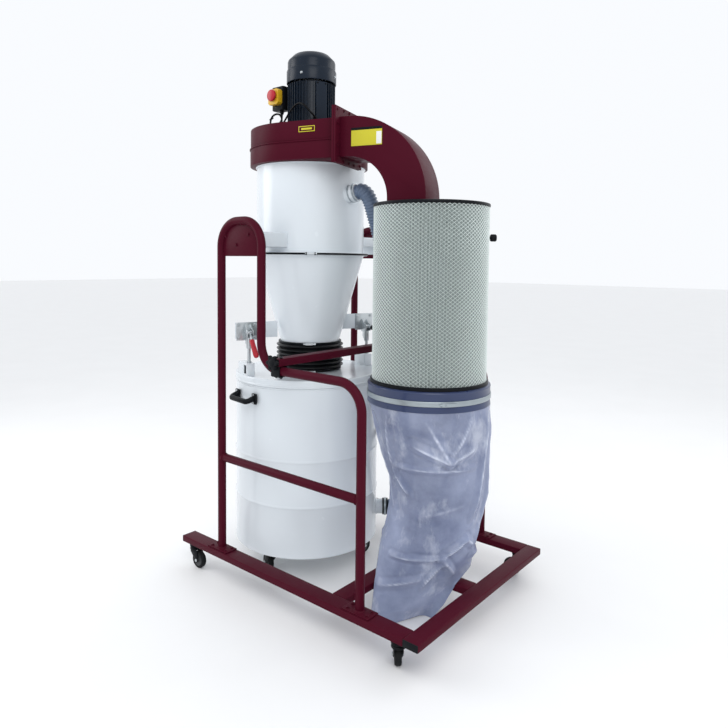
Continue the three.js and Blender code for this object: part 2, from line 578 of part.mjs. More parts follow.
// Sections of the bag: height, centre, the two half widths and the turn of the section.
const bagSections = [
  { z: bag.collarBottom - gap, x: 361.5, y: 0.7, a: 246, b: 245, deg: 39.6 },
  { z: 760, x: 369.8, y: 7.7, a: 233.6, b: 237, deg: 39.6 },
  { z: 680, x: 378.2, y: 14.5, a: 218.4, b: 225, deg: 39.6 },
  { z: 600, x: 389.4, y: 18.6, a: 203.3, b: 212, deg: 39.6 },
  { z: 540, x: 399.6, y: 19.3, a: 192.8, b: 200, deg: 39.6 },
  { z: 460, x: 407.2, y: 10.8, a: 184.8, b: 186.7, deg: 39.6 },
  { z: 380, x: 406.2, y: -9, a: 177.8, b: 173.3, deg: 39.6 },
  { z: 300, x: 401.3, y: -33.8, a: 190.4, b: 158, deg: 45.6 },
  { z: 220, x: 398.5, y: -57.8, a: 195.9, b: 134.7, deg: 53.6 },
  { z: 140, x: 401.3, y: -79.7, a: 207.7, b: 100, deg: 61.6 },
  { z: 60, x: 405.1, y: -100.7, a: 219.7, b: 55, deg: 67.6 },
  { z: 3, x: 399, y: -118.8, a: 192.4, b: 20, deg: 69.6 },
];

function collectionBag() {
  const sides = 24;
  const rows = bagSections.length - 1;
  const g = new THREE.CylinderGeometry(1, 1, 1, sides, rows);
  const position = g.getAttribute("position");
  for (let i = 0; i < position.count; i++) {
    const s = bagSections[Math.round((0.5 - position.getY(i)) * rows)];
    const [u, w] = [position.getX(i) * s.a, position.getZ(i) * s.b];
    const c = Math.cos(rad(s.deg));
    const n = Math.sin(rad(s.deg));
    position.setXYZ(i, s.x + u * c - w * n, s.y + u * n + w * c, s.z);
  }
  const margin = 2;
  const rails = [
    block(base2.crossX0 - 9, base2.crossX0 + base.rail + margin, -500, 500, 100, base.top + margin),
    block(200, 700, base2.midY0 - margin, base2.midY1 + margin, 100, base.top + margin),
    block(200, 700, -520, base.rail - base.halfWidth + margin, -5, 420),
  ];
  place("collection_bag", cut(g, ...rails), "film");
}

// ---- the relief hose from the cyclone barrel down to the drum's port ----
const hoseRoute = [
  [-20, -6, 1690], [-5.3, -4.64, 1692.72], [12, -3, 1688], [28, 0, 1674], [38, 5, 1652], [44, 13, 1624], [48, 24, 1590],
  [52, 38, 1550], [55, 56, 1500], [57, 80, 1440], [59, 104, 1370], [60, 130, 1290], [61, 152, 1200],
  [62, 170, 1100], [63, 184, 1000], [63, 197, 900], [63, 210, 800], [63, 225, 700], [63, 243, 600],
  [62, 262, 510], [60, 280, 430], [57, 290, 370], [50, 290, 316], [36, 279, 268], [20, 267, 236], [-0.41, 250.66, 225],
  [-18.31, 235.9, 225],
];

function reliefHose() {
  place("relief_hose", roundTube(stations(hoseRoute, 36), hose.r, hose.sides), "hose");
  const axis = v3(hoseRoute[0][0], hoseRoute[0][1], hoseRoute[0][2]);
  const root = v3(cyclone.x + 235, -11, 1680);
  const dir = axis.clone().sub(root).normalize();
  const clear = turned([[0, 1600], [cyclone.r + gap, 1600], [cyclone.r + gap, 1780], [0, 1780]],
    cyclone.x, cyclone.y, round);
  const sleeve = pin(root, axis.clone().addScaledVector(dir, -gap), 37, 24);
  place("hose_port", cut(sleeve, pin(root.clone().addScaledVector(dir, -5), axis.clone().addScaledVector(dir, 5), 33, 20),
    clear), "black");
}

// ---- assembly ----
baseFrame();
sideFrame("side_frame_near", -tube.planeY);
sideFrame("side_frame_far", tube.planeY);
barrelBracket("barrel_bracket_near", -1, 0);
barrelBracket("barrel_bracket_far", 1, 20);
crossBar();
const railY = base.halfWidth - base.rail / 2;
const underRail = base.top - base.height;
caster("near_left", -596, -railY, underRail, 0);
caster("near_right", 548, -railY, underRail, 130);
caster("far_left", -596, railY, underRail, 20);
caster("far_right", 560, railY, underRail, 200);
cycloneBody();
fanHead();
outletDuct();
motorParts();
switchParts();
motorLead();
toggleClamp("near");
toggleClamp("far");
lidParts();
bellows();
drumParts();
for (const [label, deg, trailDeg] of [["a", 275, 160], ["b", 35, 80], ["c", 155, 200]]) {
  const x = drum.x + 250 * Math.cos(rad(deg));
  const y = drum.y + 250 * Math.sin(rad(deg));
  caster("drum_" + label, x, y, drum.bottom, trailDeg);
}
filterParts();
collectionBag();
reliefHose();

part.position.x = originShift;
export default part;
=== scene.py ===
import json
import math

import bmesh
import bpy
from mathutils import Matrix, Vector, noise

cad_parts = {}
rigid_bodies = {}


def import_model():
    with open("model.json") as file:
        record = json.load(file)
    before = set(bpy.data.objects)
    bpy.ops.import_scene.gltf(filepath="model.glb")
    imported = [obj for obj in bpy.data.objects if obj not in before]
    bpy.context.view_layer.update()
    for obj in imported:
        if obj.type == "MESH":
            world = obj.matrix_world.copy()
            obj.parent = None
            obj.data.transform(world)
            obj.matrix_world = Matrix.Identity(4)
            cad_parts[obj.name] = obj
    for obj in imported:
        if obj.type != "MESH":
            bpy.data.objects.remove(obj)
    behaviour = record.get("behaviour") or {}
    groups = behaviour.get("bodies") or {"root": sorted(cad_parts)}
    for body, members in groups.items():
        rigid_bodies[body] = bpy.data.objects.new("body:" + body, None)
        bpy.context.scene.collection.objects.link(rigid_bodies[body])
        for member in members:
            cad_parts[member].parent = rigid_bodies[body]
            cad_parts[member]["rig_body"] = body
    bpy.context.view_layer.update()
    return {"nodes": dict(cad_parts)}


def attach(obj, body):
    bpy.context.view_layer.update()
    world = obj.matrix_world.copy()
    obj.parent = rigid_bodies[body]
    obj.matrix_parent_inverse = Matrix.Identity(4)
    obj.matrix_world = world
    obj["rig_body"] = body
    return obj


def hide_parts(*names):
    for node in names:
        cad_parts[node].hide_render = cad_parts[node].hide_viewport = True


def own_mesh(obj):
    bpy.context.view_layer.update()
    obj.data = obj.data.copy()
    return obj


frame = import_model()
print("frame loaded")

shiftX = 20.5  # mm, the object's shift along X in the frame
deg = math.radians


# from mm in the object to metres in the frame
def at(x, y, z):
    return Vector(((x + shiftX) / 1000, y / 1000, z / 1000))


# camera
camData = bpy.data.cameras.new("camera")
camData.lens = 31.54
camData.sensor_width = 36
camData.shift_y = -0.0879
camera = bpy.data.objects.new("camera", camData)
bpy.context.scene.collection.objects.link(camera)
right = Vector((0.77073823, 0.63706145, 0.01073748))
up = Vector((-0.04603306, 0.03886825, 0.99818346))
forward = Vector((-0.63548685, 0.76983243, -0.05928314))
camera.matrix_world = Matrix((
    (right.x, up.x, -forward.x, 1.78473 + 0.0205),
    (right.y, up.y, -forward.y, -2.1424),
    (right.z, up.z, -forward.z, 1.38591),
    (0, 0, 0, 1),
))
bpy.context.scene.camera = camera


# a shader socket that takes part in arithmetic
class Wire:
    def __init__(self, tree, socket):
        self.tree, self.socket = tree, socket

    def calc(self, operation, a, b=None):
        n = self.tree.nodes.new("ShaderNodeMath")
        n.operation = operation
        for i, v in enumerate((a, b)):
            if isinstance(v, Wire):
                self.tree.links.new(v.socket, n.inputs[i])
            elif v is not None:
                n.inputs[i].default_value = v
        return Wire(self.tree, n.outputs[0])

    def __add__(self, o):
        return self.calc("ADD", self, o)

    def __mul__(self, o):
        return self.calc("MULTIPLY", self, o)

    def __sub__(self, o):
        return self.calc("SUBTRACT", self, o)

    def __rsub__(self, o):
        return self.calc("SUBTRACT", o, self)

    def __pow__(self, o):
        return self.calc("POWER", self, o)

    def clip(self):
        return self.calc("MINIMUM", self.calc("MAXIMUM", self, 0.0), 1.0)


# a material, and the one way nodes are added to it
class Finish:
    def __init__(self, name, **base):
        self.material = bpy.data.materials.new(name)
        self.material.use_nodes = True
        self.tree = self.material.node_tree
        self.shader = self.tree.nodes["Principled BSDF"]
        for key, value in base.items():
            self.shader.inputs[key.replace("_", " ")].default_value = value

    def node(self, kind, settings=None, **values):
        n = self.tree.nodes.new(kind)
        for key, value in (settings or {}).items():
            setattr(n, key, value)
        for key, value in values.items():
            if isinstance(value, Wire):
                self.tree.links.new(value.socket, n.inputs[key.replace("_", " ")])
            else:
                n.inputs[key.replace("_", " ")].default_value = value
        return n

    def out(self, n, name=0):
        return Wire(self.tree, n.outputs[name])

    def coords(self):
        return self.out(self.node("ShaderNodeTexCoord"), "Object")

    def parts(self, vector):
        n = self.node("ShaderNodeSeparateXYZ", Vector=vector)
        return [self.out(n, i) for i in range(3)]

    def grain(self, scale, detail=4.0, rough=0.55, vector=None, stretch=None):
        v = vector or self.coords()
        if stretch:
            v = self.out(self.node("ShaderNodeMapping", Vector=v, Scale=stretch))
        n = self.node("ShaderNodeTexNoise", Vector=v, Scale=scale, Detail=detail, Roughness=rough)
        return self.out(n, "Fac")

    def mixed(self, factor, a, b):
        n = self.node("ShaderNodeMix", {"data_type": "RGBA"})
        for i, v in ((0, factor), (6, a), (7, b)):
            if isinstance(v, Wire):
                self.tree.links.new(v.socket, n.inputs[i])
            elif i == 0:
                n.inputs[i].default_value = v
            else:
                n.inputs[i].default_value = (*v[:3], 1)
        return Wire(self.tree, n.outputs[2])

    def feed(self, **values):
        for key, value in values.items():
            self.tree.links.new(value.socket, self.shader.inputs[key.replace("_", " ")])
        return self

    def bump(self, height, strength=0.3, distance=0.001):
        n = self.node("ShaderNodeBump", Height=height, Strength=strength, Distance=distance)
        self.tree.links.new(n.outputs[0], self.shader.inputs["Normal"])
        return self

    def topDust(self, amount):
        n = self.node("ShaderNodeNewGeometry")
        z = self.parts(self.out(n, "Normal"))[2]
        return (z * amount * self.grain(9, 6)).clip()


# paint or moulded plastic: faint clouds, fine texture, dust on faces that look up
def coat(name, colour, rough, coatWeight=0.0, metallic=0.0, peel=900, peelDepth=0.15, tint=0.12,
         dust=0.1, shine=0.35, ior=1.5):
    f = Finish(name, Roughness=rough, Metallic=metallic, Coat_Weight=coatWeight, Coat_Roughness=0.12,
               Specular_IOR_Level=shine, IOR=ior)
    dark = [c * (1 - tint) for c in colour]
    light = [min(1, c * (1 + tint) + 0.002) for c in colour]
    clouds = f.grain(3.5, 3)
    base = f.mixed(clouds, dark, light)
    dusted = f.mixed(f.topDust(dust), base, (0.55, 0.53, 0.5))
    smear = f.grain(14, 5, 0.6)
    f.feed(Base_Color=dusted, Roughness=(smear * 0.16 + (rough - 0.08)).clip())
    f.bump(f.grain(peel, 2, 0.5), peelDepth, 0.0006)
    return f.material


def plated(name, colour, rough=0.32, scratch=60):
    f = Finish(name, Metallic=1.0, Roughness=rough)
    clouds = f.grain(22, 5)
    brushed = f.grain(scratch, 6, 0.7, stretch=(1, 1, 14))
    f.feed(
        Base_Color=f.mixed(clouds, [c * 0.8 for c in colour], colour),
        Roughness=(brushed * 0.25 + (rough - 0.1)).clip(),
    )
    f.bump(brushed, 0.12, 0.0005)
    return f.material


look = {
    "maroonCoat": coat("maroonCoat", (0.062, 0.0032, 0.0125), 0.4, 0.0, peel=700, peelDepth=0.22,
                       dust=0.006, shine=0.3, ior=1.18),
    "whiteGloss": coat("whiteGloss", (0.72, 0.77, 0.81), 0.24, 0.3, peel=260, peelDepth=0.04, tint=0.03,
                       dust=0.02, shine=0.4),
    "motorGloss": coat("motorGloss", (0.005, 0.011, 0.022), 0.28, 0.0, peel=420, peelDepth=0.2,
                       dust=0.008, shine=0.45, ior=1.3),
    "blackSteel": coat("blackSteel", (0.005, 0.006, 0.008), 0.36, 0.0, peel=800, peelDepth=0.2,
                       dust=0.01, shine=0.3, ior=1.25),
    "blackPlastic": coat("blackPlastic", (0.005, 0.006, 0.008), 0.42, peel=1200, peelDepth=0.3,
                         dust=0.015, shine=0.3, ior=1.25),
    "redGrip": coat("redGrip", (0.42, 0.008, 0.02), 0.35, 0.1, peel=900, peelDepth=0.1, tint=0.06,
                    dust=0.02),
    "yellowShell": coat("yellowShell", (0.7, 0.42, 0.015), 0.4, 0.1, peel=1000, peelDepth=0.15,
                        tint=0.05, dust=0.02),
    "labelYellow": coat("labelYellow", (0.55, 0.5, 0.02), 0.35, 0.1, peelDepth=0.02, tint=0.03,
                        dust=0.02),
    "labelWhite": coat("labelWhite", (0.75, 0.76, 0.74), 0.35, 0.2, peelDepth=0.02, tint=0.02,
                       dust=0.02),
    "zincPlate": plated("zincPlate", (0.62, 0.66, 0.68)),
    "steelWire": coat("steelWire", (0.8, 0.86, 0.84), 0.4, 0.1, peel=900, peelDepth=0.1, tint=0.1,
                      dust=0.02),
    "bandSteel": plated("bandSteel", (0.42, 0.47, 0.5), 0.34, 30),
    "wheelRubber": coat("wheelRubber", (0.007, 0.008, 0.009), 0.6, peel=500, peelDepth=0.35, dust=0.03,
                        shine=0.3, ior=1.3),
    "hubGrey": coat("hubGrey", (0.05, 0.053, 0.056), 0.45, peel=700, peelDepth=0.2, dust=0.08),
    "bellowsRubber": coat("bellowsRubber", (0.005, 0.006, 0.007), 0.3, peel=350, peelDepth=0.2,
                          dust=0.01, shine=0.4, ior=1.3),
    "leadSheath": coat("leadSheath", (0.004, 0.004, 0.005), 0.4, peel=900, peelDepth=0.1, dust=0.01,
                       shine=0.3, ior=1.25),
    "ribbedHose": coat("ribbedHose", (0.13, 0.18, 0.27), 0.34, 0.15, peel=500, peelDepth=0.12,
                       dust=0.02),
    "pewterBand": coat("pewterBand", (0.03, 0.045, 0.11), 0.3, 0.15, peel=300, peelDepth=0.1, dust=0.01),
}


def pleatCloth():
    f = Finish("pleatCloth", Roughness=0.85)
    weave = f.grain(420, 3, 0.6, stretch=(1, 1, 0.25))
    age = f.grain(2.5, 4)
    z = f.parts(f.coords())[2]
    low = (1.25 - z * 0.85).clip() * 0.35
    base = f.mixed(age, (0.33, 0.38, 0.37), (0.42, 0.47, 0.46))
    f.feed(Base_Color=f.mixed(low * weave, base, (0.3, 0.33, 0.28)),
           Roughness=(weave * 0.1 + 0.8).clip())
    f.bump(weave, 0.25, 0.0008)
    return f.material


def clearFilm():
    f = Finish("clearFilm", Roughness=0.16, IOR=1.45, Specular_IOR_Level=0.5)
    rim = f.out(f.node("ShaderNodeLayerWeight", Blend=0.35), "Facing")
    haze = f.grain(5, 5, 0.6)
    folds = f.grain(16, 5, 0.6, stretch=(1.2, 1.2, 0.4))
    # painted highlight lines along the film's creases: this attribute brightens the colour towards
    # near-white and makes the film more opaque there
    crease_highlight = f.out(f.node("ShaderNodeAttribute", {"attribute_name": "crease_highlight"}), "Fac")
    z = f.parts(f.coords())[2]
    low = (0.75 - z).clip()
    tone = f.mixed((haze * 2.4 - 0.7).clip(), (0.13, 0.16, 0.27), (0.32, 0.37, 0.53))
    # painted sheen: the film's colour is lightened where it is seen edge-on
    tone = f.mixed((rim * 0.5).clip(), tone, (0.4, 0.44, 0.62))
    # glint: painted highlight patches, mixed into the base colour towards near-white
    glint = (f.grain(7, 5, 0.65, stretch=(1.3, 1.3, 0.7)) * 6.0 - 3.2).clip()
    f.feed(
        Base_Color=f.mixed((crease_highlight * 0.75 + glint * 0.4).clip(), tone, (0.86, 0.9, 1.0)),
        Roughness=(haze * 0.14 + 0.1).clip(),
        Alpha=(rim * 0.2 + haze * 0.15 + low * 0.15 + crease_highlight * 0.5 + 0.68).clip(),
    )
    f.bump(folds, 0.5, 0.006)
    return f.material


look["pleatCloth"] = pleatCloth()
look["clearFilm"] = clearFilm()
print("materials made")


# collects closed shells, in mm, and turns them into one piece
class Maker:
    def __init__(self, place=None):
        self.verts, self.faces, self.slots = [], [], []
        self.place = place or Matrix.Identity(4)

    def add(self, verts, faces, m=0):
        start = len(self.verts)
        self.verts += [self.place @ Vector(v) for v in verts]
        self.faces += [[start + i for i in f] for f in faces]
        self.slots += [m] * len(faces)
        return self

    def lathe(self, profile, x=0.0, y=0.0, n=96, m=0, turn=None, closed=None):
        closed = profile[0][0] > 1e-6 if closed is None else closed
        t = Matrix.Translation((x, y, 0)) if turn is None else turn
        verts, rows = [], []
        for r, z in profile:
            if r < 1e-6:
                rows.append([len(verts)] * n)
                verts.append(t @ Vector((0, 0, z)))
            else:
                rows.append(list(range(len(verts), len(verts) + n)))
                turns = [2 * math.pi * i / n for i in range(n)]
                verts += [t @ Vector((r * math.cos(a), r * math.sin(a), z)) for a in turns]
        if closed:
            rows.append(rows[0])
        faces = []
        for a, b in zip(rows, rows[1:]):
            for i in range(n):
                j = (i + 1) % n
                quad = [a[i], a[j], b[j], b[i]]
                faces.append([v for k, v in enumerate(quad) if v not in quad[:k]])
        return self.add(verts, [f for f in faces if len(f) > 2], m)

    def tube(self, path, r, sides=16, m=0):
        path = [Vector(p) for p in path]
        radii = r if hasattr(r, "__len__") else [r] * len(path)
        tangents = []
        for i in range(len(path)):
            a, b = path[max(0, i - 1)], path[min(len(path) - 1, i + 1)]
            tangents.append((b - a).normalized())
        side = tangents[0].orthogonal().normalized()
        verts, faces = [], []
        for i, p in enumerate(path):
            if i:
                side = tangents[i - 1].rotation_difference(tangents[i]) @ side
            side = (side - tangents[i] * side.dot(tangents[i])).normalized()
            other = tangents[i].cross(side)
            for k in range(sides):
                a = 2 * math.pi * k / sides
                verts.append(p + (side * math.cos(a) + other * math.sin(a)) * radii[i])
        for i in range(len(path) - 1):
            for k in range(sides):
                j = (k + 1) % sides
                faces.append([i * sides + k, i * sides + j, (i + 1) * sides + j, (i + 1) * sides + k])
        last = (len(path) - 1) * sides
        faces.append(list(range(sides))[::-1])
        faces.append([last + k for k in range(sides)])
        return self.add(verts, faces, m)

    def pin(self, a, b, r, n=24, m=0, r2=None):
        return self.tube([a, b], [r, r if r2 is None else r2], n, m)

    def bar(self, x0, x1, y0, y1, z0, z1, m=0):
        verts = [(x, y, z) for z in (z0, z1) for y in (y0, y1) for x in (x0, x1)]
        faces = [[0, 2, 3, 1], [4, 5, 7, 6], [0, 1, 5, 4], [2, 6, 7, 3], [0, 4, 6, 2], [1, 3, 7, 5]]
        return self.add(verts, faces, m)

    def prism(self, outline, lo, hi, axis="z", m=0):
        n = len(outline)
        verts = [(u, v, w) if axis == "z" else (u, w, v) for w in (lo, hi) for u, v in outline]
        faces = [list(range(n))[::-1], [n + i for i in range(n)]]
        faces += [[i, (i + 1) % n, n + (i + 1) % n, n + i] for i in range(n)]
        return self.add(verts, faces, m)

    def done(self, name, materials, body="frame", stands=(), bevel=0.0, smooth=35,
             segments=2):
        mesh = bpy.data.meshes.new(name)
        mesh.from_pydata([at(*v) for v in self.verts], [], self.faces)
        mesh.polygons.foreach_set("material_index", self.slots)
        for key in materials:
            mesh.materials.append(look[key])
        obj = linked(name, mesh)
        tidyNormals(mesh)
        if bevel:
            applyBevel(obj, bevel, segments)
        shade(obj.data, smooth)
        return own(obj, body, stands)


def linked(name, mesh):
    obj = bpy.data.objects.new(name, mesh)
    bpy.context.scene.collection.objects.link(obj)
    return obj


def tidyNormals(mesh):
    bm = bmesh.new()
    bm.from_mesh(mesh)
    bmesh.ops.remove_doubles(bm, verts=bm.verts, dist=1e-6)
    bmesh.ops.recalc_face_normals(bm, faces=bm.faces)
    bm.to_mesh(mesh)
    bm.free()


def shade(mesh, angle):
    mesh.polygons.foreach_set("use_smooth", [True] * len(mesh.polygons))
    mesh.set_sharp_from_angle(angle=deg(angle))
    mesh.update()


# turns the modifiers of obj into plain mesh
def settle(obj):
    graph = bpy.context.evaluated_depsgraph_get()
    graph.update()
    made = bpy.data.meshes.new_from_object(obj.evaluated_get(graph))
    obj.modifiers.clear()
    obj.data = made
    made.name = obj.name
    return obj


def applyBevel(obj, width, segments=2):
    b = obj.modifiers.new("edge", "BEVEL")
    b.width = width / 1000
    b.segments = segments
    b.limit_method = "ANGLE"
    b.angle_limit = deg(38)
    b.use_clamp_overlap = True
    settle(obj)


def own(obj, body, stands=()):
    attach(obj, body)
    if stands:
        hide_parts(*([stands] if isinstance(stands, str) else stands))
    return obj


# a bevelled copy of a CAD node, which stands for it
def refine(node, key, bevel=0.8, smooth=35):
    source = frame["nodes"][node]
    mesh = source.data.copy()
    bm = bmesh.new()
    bm.from_mesh(mesh)
    bmesh.ops.remove_doubles(bm, verts=bm.verts, dist=2e-5)
    bmesh.ops.dissolve_limit(bm, angle_limit=deg(1.5), verts=bm.verts, edges=bm.edges)
    bm.to_mesh(mesh)
    bm.free()
    mesh.materials.clear()
    mesh.materials.append(look[key])
    obj = linked(node + "_look", mesh)
    if bevel:
        applyBevel(obj, bevel)
    shade(obj.data, smooth)
    return own(obj, source["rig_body"], node)


# stands the Z axis along direction, from point
def facing(point, direction):
    return Matrix.Translation(point) @ direction.to_track_quat("Z", "Y").to_matrix().to_4x4()


def around(x, y, angle, z=0.0):
    return Matrix.Translation((x, y, z)) @ Matrix.Rotation(deg(angle), 4, "Z")


def bends(corners, bend, steps=10):
    corners = [Vector(c) for c in corners]
    out = [corners[0]]
    for a, p, b in zip(corners, corners[1:], corners[2:]):
        u, w = (a - p).normalized(), (b - p).normalized()
        half = u.angle(w) / 2
        centre = p + (u + w).normalized() * (bend / math.sin(half))
        start = p + u * (bend / math.tan(half)) - centre
        axis = start.cross(p + w * (bend / math.tan(half)) - centre).normalized()
        for k in range(steps + 1):
            out.append(Matrix.Rotation((math.pi - 2 * half) * k / steps, 3, axis) @ start + centre)
    return out + [corners[-1]]


# repeated parts by Geometry Nodes
def newTree(name, **inputs):
    tree = bpy.data.node_groups.new(name, "GeometryNodeTree")
    tree.interface.new_socket("Geometry", in_out="INPUT", socket_type="NodeSocketGeometry")
    kinds = {int: "NodeSocketInt", float: "NodeSocketFloat"}
    for key, value in inputs.items():
        if isinstance(value, bpy.types.Material):
            tree.interface.new_socket(key, in_out="INPUT", socket_type="NodeSocketMaterial")
        else:
            s = tree.interface.new_socket(key, in_out="INPUT", socket_type=kinds[type(value)])
            s.default_value = value
    tree.interface.new_socket("Geometry", in_out="OUTPUT", socket_type="NodeSocketGeometry")
    return tree


# adds nodes to a Geometry Nodes tree and links them
class Flow:
    def __init__(self, tree):
        self.tree = tree
        self.start = tree.nodes.new("NodeGroupInput")
        self.end = tree.nodes.new("NodeGroupOutput")

    def add(self, kind, settings=None, **links):
        n = self.tree.nodes.new(kind)
        for key, value in (settings or {}).items():
            setattr(n, key, value)
        for key, value in links.items():
            place = int(key[1:]) if key[0] == "i" and key[1:].isdigit() else key.replace("_", " ")
            if isinstance(value, bpy.types.NodeSocket):
                self.tree.links.new(value, n.inputs[place])
            else:
                n.inputs[place].default_value = value
        return n

    def math(self, operation, a, b=0.0):
        return self.add("ShaderNodeMath", {"operation": operation}, i0=a, i1=b).outputs[0]

    def finish(self, geometry, materialSocket):
        real = self.add("GeometryNodeRealizeInstances", Geometry=geometry)
        painted = self.add("GeometryNodeSetMaterial", Geometry=real.outputs[0], Material=materialSocket)
        self.tree.links.new(painted.outputs[0], self.end.inputs[0])


# runs a tree on obj and keeps the result as its plain mesh
def runTree(obj, tree, **values):
    mod = obj.modifiers.new("pattern", "NODES")
    mod.node_group = tree
    for item in tree.interface.items_tree:
        if item.in_out == "INPUT" and item.name in values:
            mod[item.identifier] = values[item.name]
    return settle(obj)


def boltTree():
    tree = newTree("boltRow", HeadRadius=0.006, HeadHeight=0.004, WasherRadius=0.009, Sides=6,
                   Paint=look["zincPlate"])
    f = Flow(tree)
    i = f.start.outputs
    facing = f.add("GeometryNodeInputNamedAttribute", {"data_type": "FLOAT_VECTOR"}, Name="facing")
    turn = f.add("FunctionNodeAlignRotationToVector", {"axis": "Z"}, Vector=facing.outputs[0])
    head = f.add("GeometryNodeMeshCylinder", Vertices=i["Sides"], Radius=i["HeadRadius"],
                 Depth=i["HeadHeight"])
    lift = f.add("ShaderNodeCombineXYZ", Z=f.math("MULTIPLY", i["HeadHeight"], 0.8))
    headUp = f.add("GeometryNodeTransform", Geometry=head.outputs[0], Translation=lift.outputs[0])
    washer = f.add("GeometryNodeMeshCylinder", Vertices=20, Radius=i["WasherRadius"],
                   Depth=f.math("MULTIPLY", i["HeadHeight"], 0.5))
    both = f.add("GeometryNodeJoinGeometry")
    tree.links.new(headUp.outputs[0], both.inputs[0])
    tree.links.new(washer.outputs[0], both.inputs[0])
    put = f.add("GeometryNodeInstanceOnPoints", Points=i["Geometry"], Instance=both.outputs[0],
                Rotation=turn.outputs[0])
    f.finish(put.outputs[0], i["Paint"])
    return tree


boltRow = boltTree()


# bolt heads at each (point in mm, direction) of spots
def bolts(name, spots, body="frame", head=6.0, height=4.0, washer=9.0, sides=6, key="zincPlate",
          place=None):
    place = place or Matrix.Identity(4)
    mesh = bpy.data.meshes.new(name)
    mesh.from_pydata([at(*(place @ Vector(p))) for p, d in spots], [], [])
    marks = mesh.attributes.new("facing", "FLOAT_VECTOR", "POINT")
    flat = []
    for p, d in spots:
        flat += list((place.to_3x3() @ Vector(d)).normalized())
    marks.data.foreach_set("vector", flat)
    obj = linked(name, mesh)
    runTree(obj, boltRow, HeadRadius=head / 1000, HeadHeight=height / 1000, WasherRadius=washer / 1000,
            Sides=sides, Paint=look[key])
    applyBevel(obj, 0.5, 1)
    shade(obj.data, 35)
    return own(obj, body)


def seed(name):
    return linked(name, bpy.data.meshes.new(name))


# points every step mm on a smooth line through the route, for the hose and the motor lead
def smoothRoute(route, step):
    pts = [Vector(p) for p in route]
    pts = [pts[0] * 2 - pts[1], *pts, pts[-1] * 2 - pts[-2]]
    dense = []
    for a, b, c, d in zip(pts, pts[1:], pts[2:], pts[3:]):
        for k in range(40):
            t = k / 40
            square, cube = 2 * a - 5 * b + 4 * c - d, 3 * b - a - 3 * c + d
            dense.append(0.5 * (2 * b + (c - a) * t + square * t * t + cube * t ** 3))
    dense.append(pts[-2])
    out, run, left = [dense[0]], 0.0, step
    for a, b in zip(dense, dense[1:]):
        length = (b - a).length
        while length > 1e-9 and run + length >= left:
            out.append(a.lerp(b, (left - run) / length))
            left += step
        run += length
    if (out[-1] - dense[-1]).length > step * 0.3:
        out.append(dense[-1])
    else:
        out[-1] = dense[-1]
    return out, run


reliefHose = {
    "route": [
        (-20, -6, 1690), (-5.3, -4.64, 1692.72), (12, -3, 1688), (28, 0, 1674), (38, 5, 1652),
        (44, 13, 1624),
        (48, 24, 1590), (52, 38, 1550), (55, 56, 1500), (57, 80, 1440), (59, 104, 1370), (60, 130, 1290),
        (61, 152, 1200), (62, 170, 1100), (63, 184, 1000), (63, 197, 900), (63, 210, 800),
        (63, 225, 700),
        (63, 243, 600), (62, 262, 510), (60, 280, 430), (57, 290, 370), (50, 290, 316), (36, 279, 268),
        (20, 267, 236), (-0.41, 250.66, 225), (-18.31, 235.9, 225),
    ],
    "radius": 31.6, "rib": 2.4, "pitch": 13.0, "sides": 28,
}


def makeReliefHose(s):
    path, length = smoothRoute(s["route"], s["pitch"] / 6)
    radii = [s["radius"] + s["rib"] * math.sin(2 * math.pi * i / 6) for i in range(len(path))]
    m = Maker()
    m.tube(path, radii, s["sides"])
    obj = m.done("reliefHose", ["ribbedHose"], "frame", "relief_hose", smooth=60)
    pts = [at(*p) for p in path[::6]] + ([at(*path[-1])] if (len(path) - 1) % 6 else [])
    at(*s["route"][0])
    length / 1000
    print("relief hose", round(length), "mm")


makeReliefHose(reliefHose)

motorLead = {
    "route": [
        (-443, -60, 2078), (-443, -60, 2064), (-443, -62, 2046), (-449, -68, 2030), (-458, -78, 2018),
        (-461, -91, 2005), (-452, -104, 1994), (-432, -113, 1988), (-410, -118, 1989),
        (-391, -121, 1998),
        (-379, -122, 2014), (-379, -122, 2034), (-391, -123, 2050), (-412, -125, 2055),
        (-433, -127, 2048),
        (-444, -129, 2030), (-441, -132, 2009), (-424, -135, 1996), (-401, -136, 1992),
        (-376, -136, 1996),
        (-354, -134, 2008), (-338, -131, 2028), (-323, -127, 2050), (-304, -123, 2070),
        (-280, -122, 2082),
        (-256, -122, 2082), (-234, -121, 2070), (-218, -114, 2052), (-207, -103, 2036),
        (-203, -92, 2026),
        (-206, -83, 2021), (-216, -74, 2020),
    ],
    "radius": 4.3, "sides": 14,
}


def makeMotorLead(s):
    path, length = smoothRoute(s["route"], 6)
    m = Maker()
    m.tube(path, s["radius"], s["sides"])
    obj = m.done("motorLead", ["leadSheath"], "frame", "motor_lead", smooth=60)
    tie = Maker()
    for p, q in (((-379, -122, 2018), (-376, -136, 1996)), ((-436, -127, 2044), (-444, -129, 2030))):
        c = (Vector(p) + Vector(q)) / 2
        oval = Matrix.Rotation(deg(35), 4, "X") @ Matrix.Diagonal((0.75, 1.1, 1, 1))
        tie.lathe([(9.5, -2.2), (11, -2.2), (11, 2.2), (9.5, 2.2)], n=24, turn=Matrix.Translation(c)
                  @ oval)
    ties = tie.done("leadTies", ["blackPlastic"], "frame")
    at(*s["route"][0])
    length / 1000
    [at(*p) for p in path]
    print("motor lead", round(length), "mm")


makeMotorLead(motorLead)

# wheeled base
baseRails = {"near": (-473.5, -405.5), "far": (405.5, 473.5), "z": (108.5, 136)}


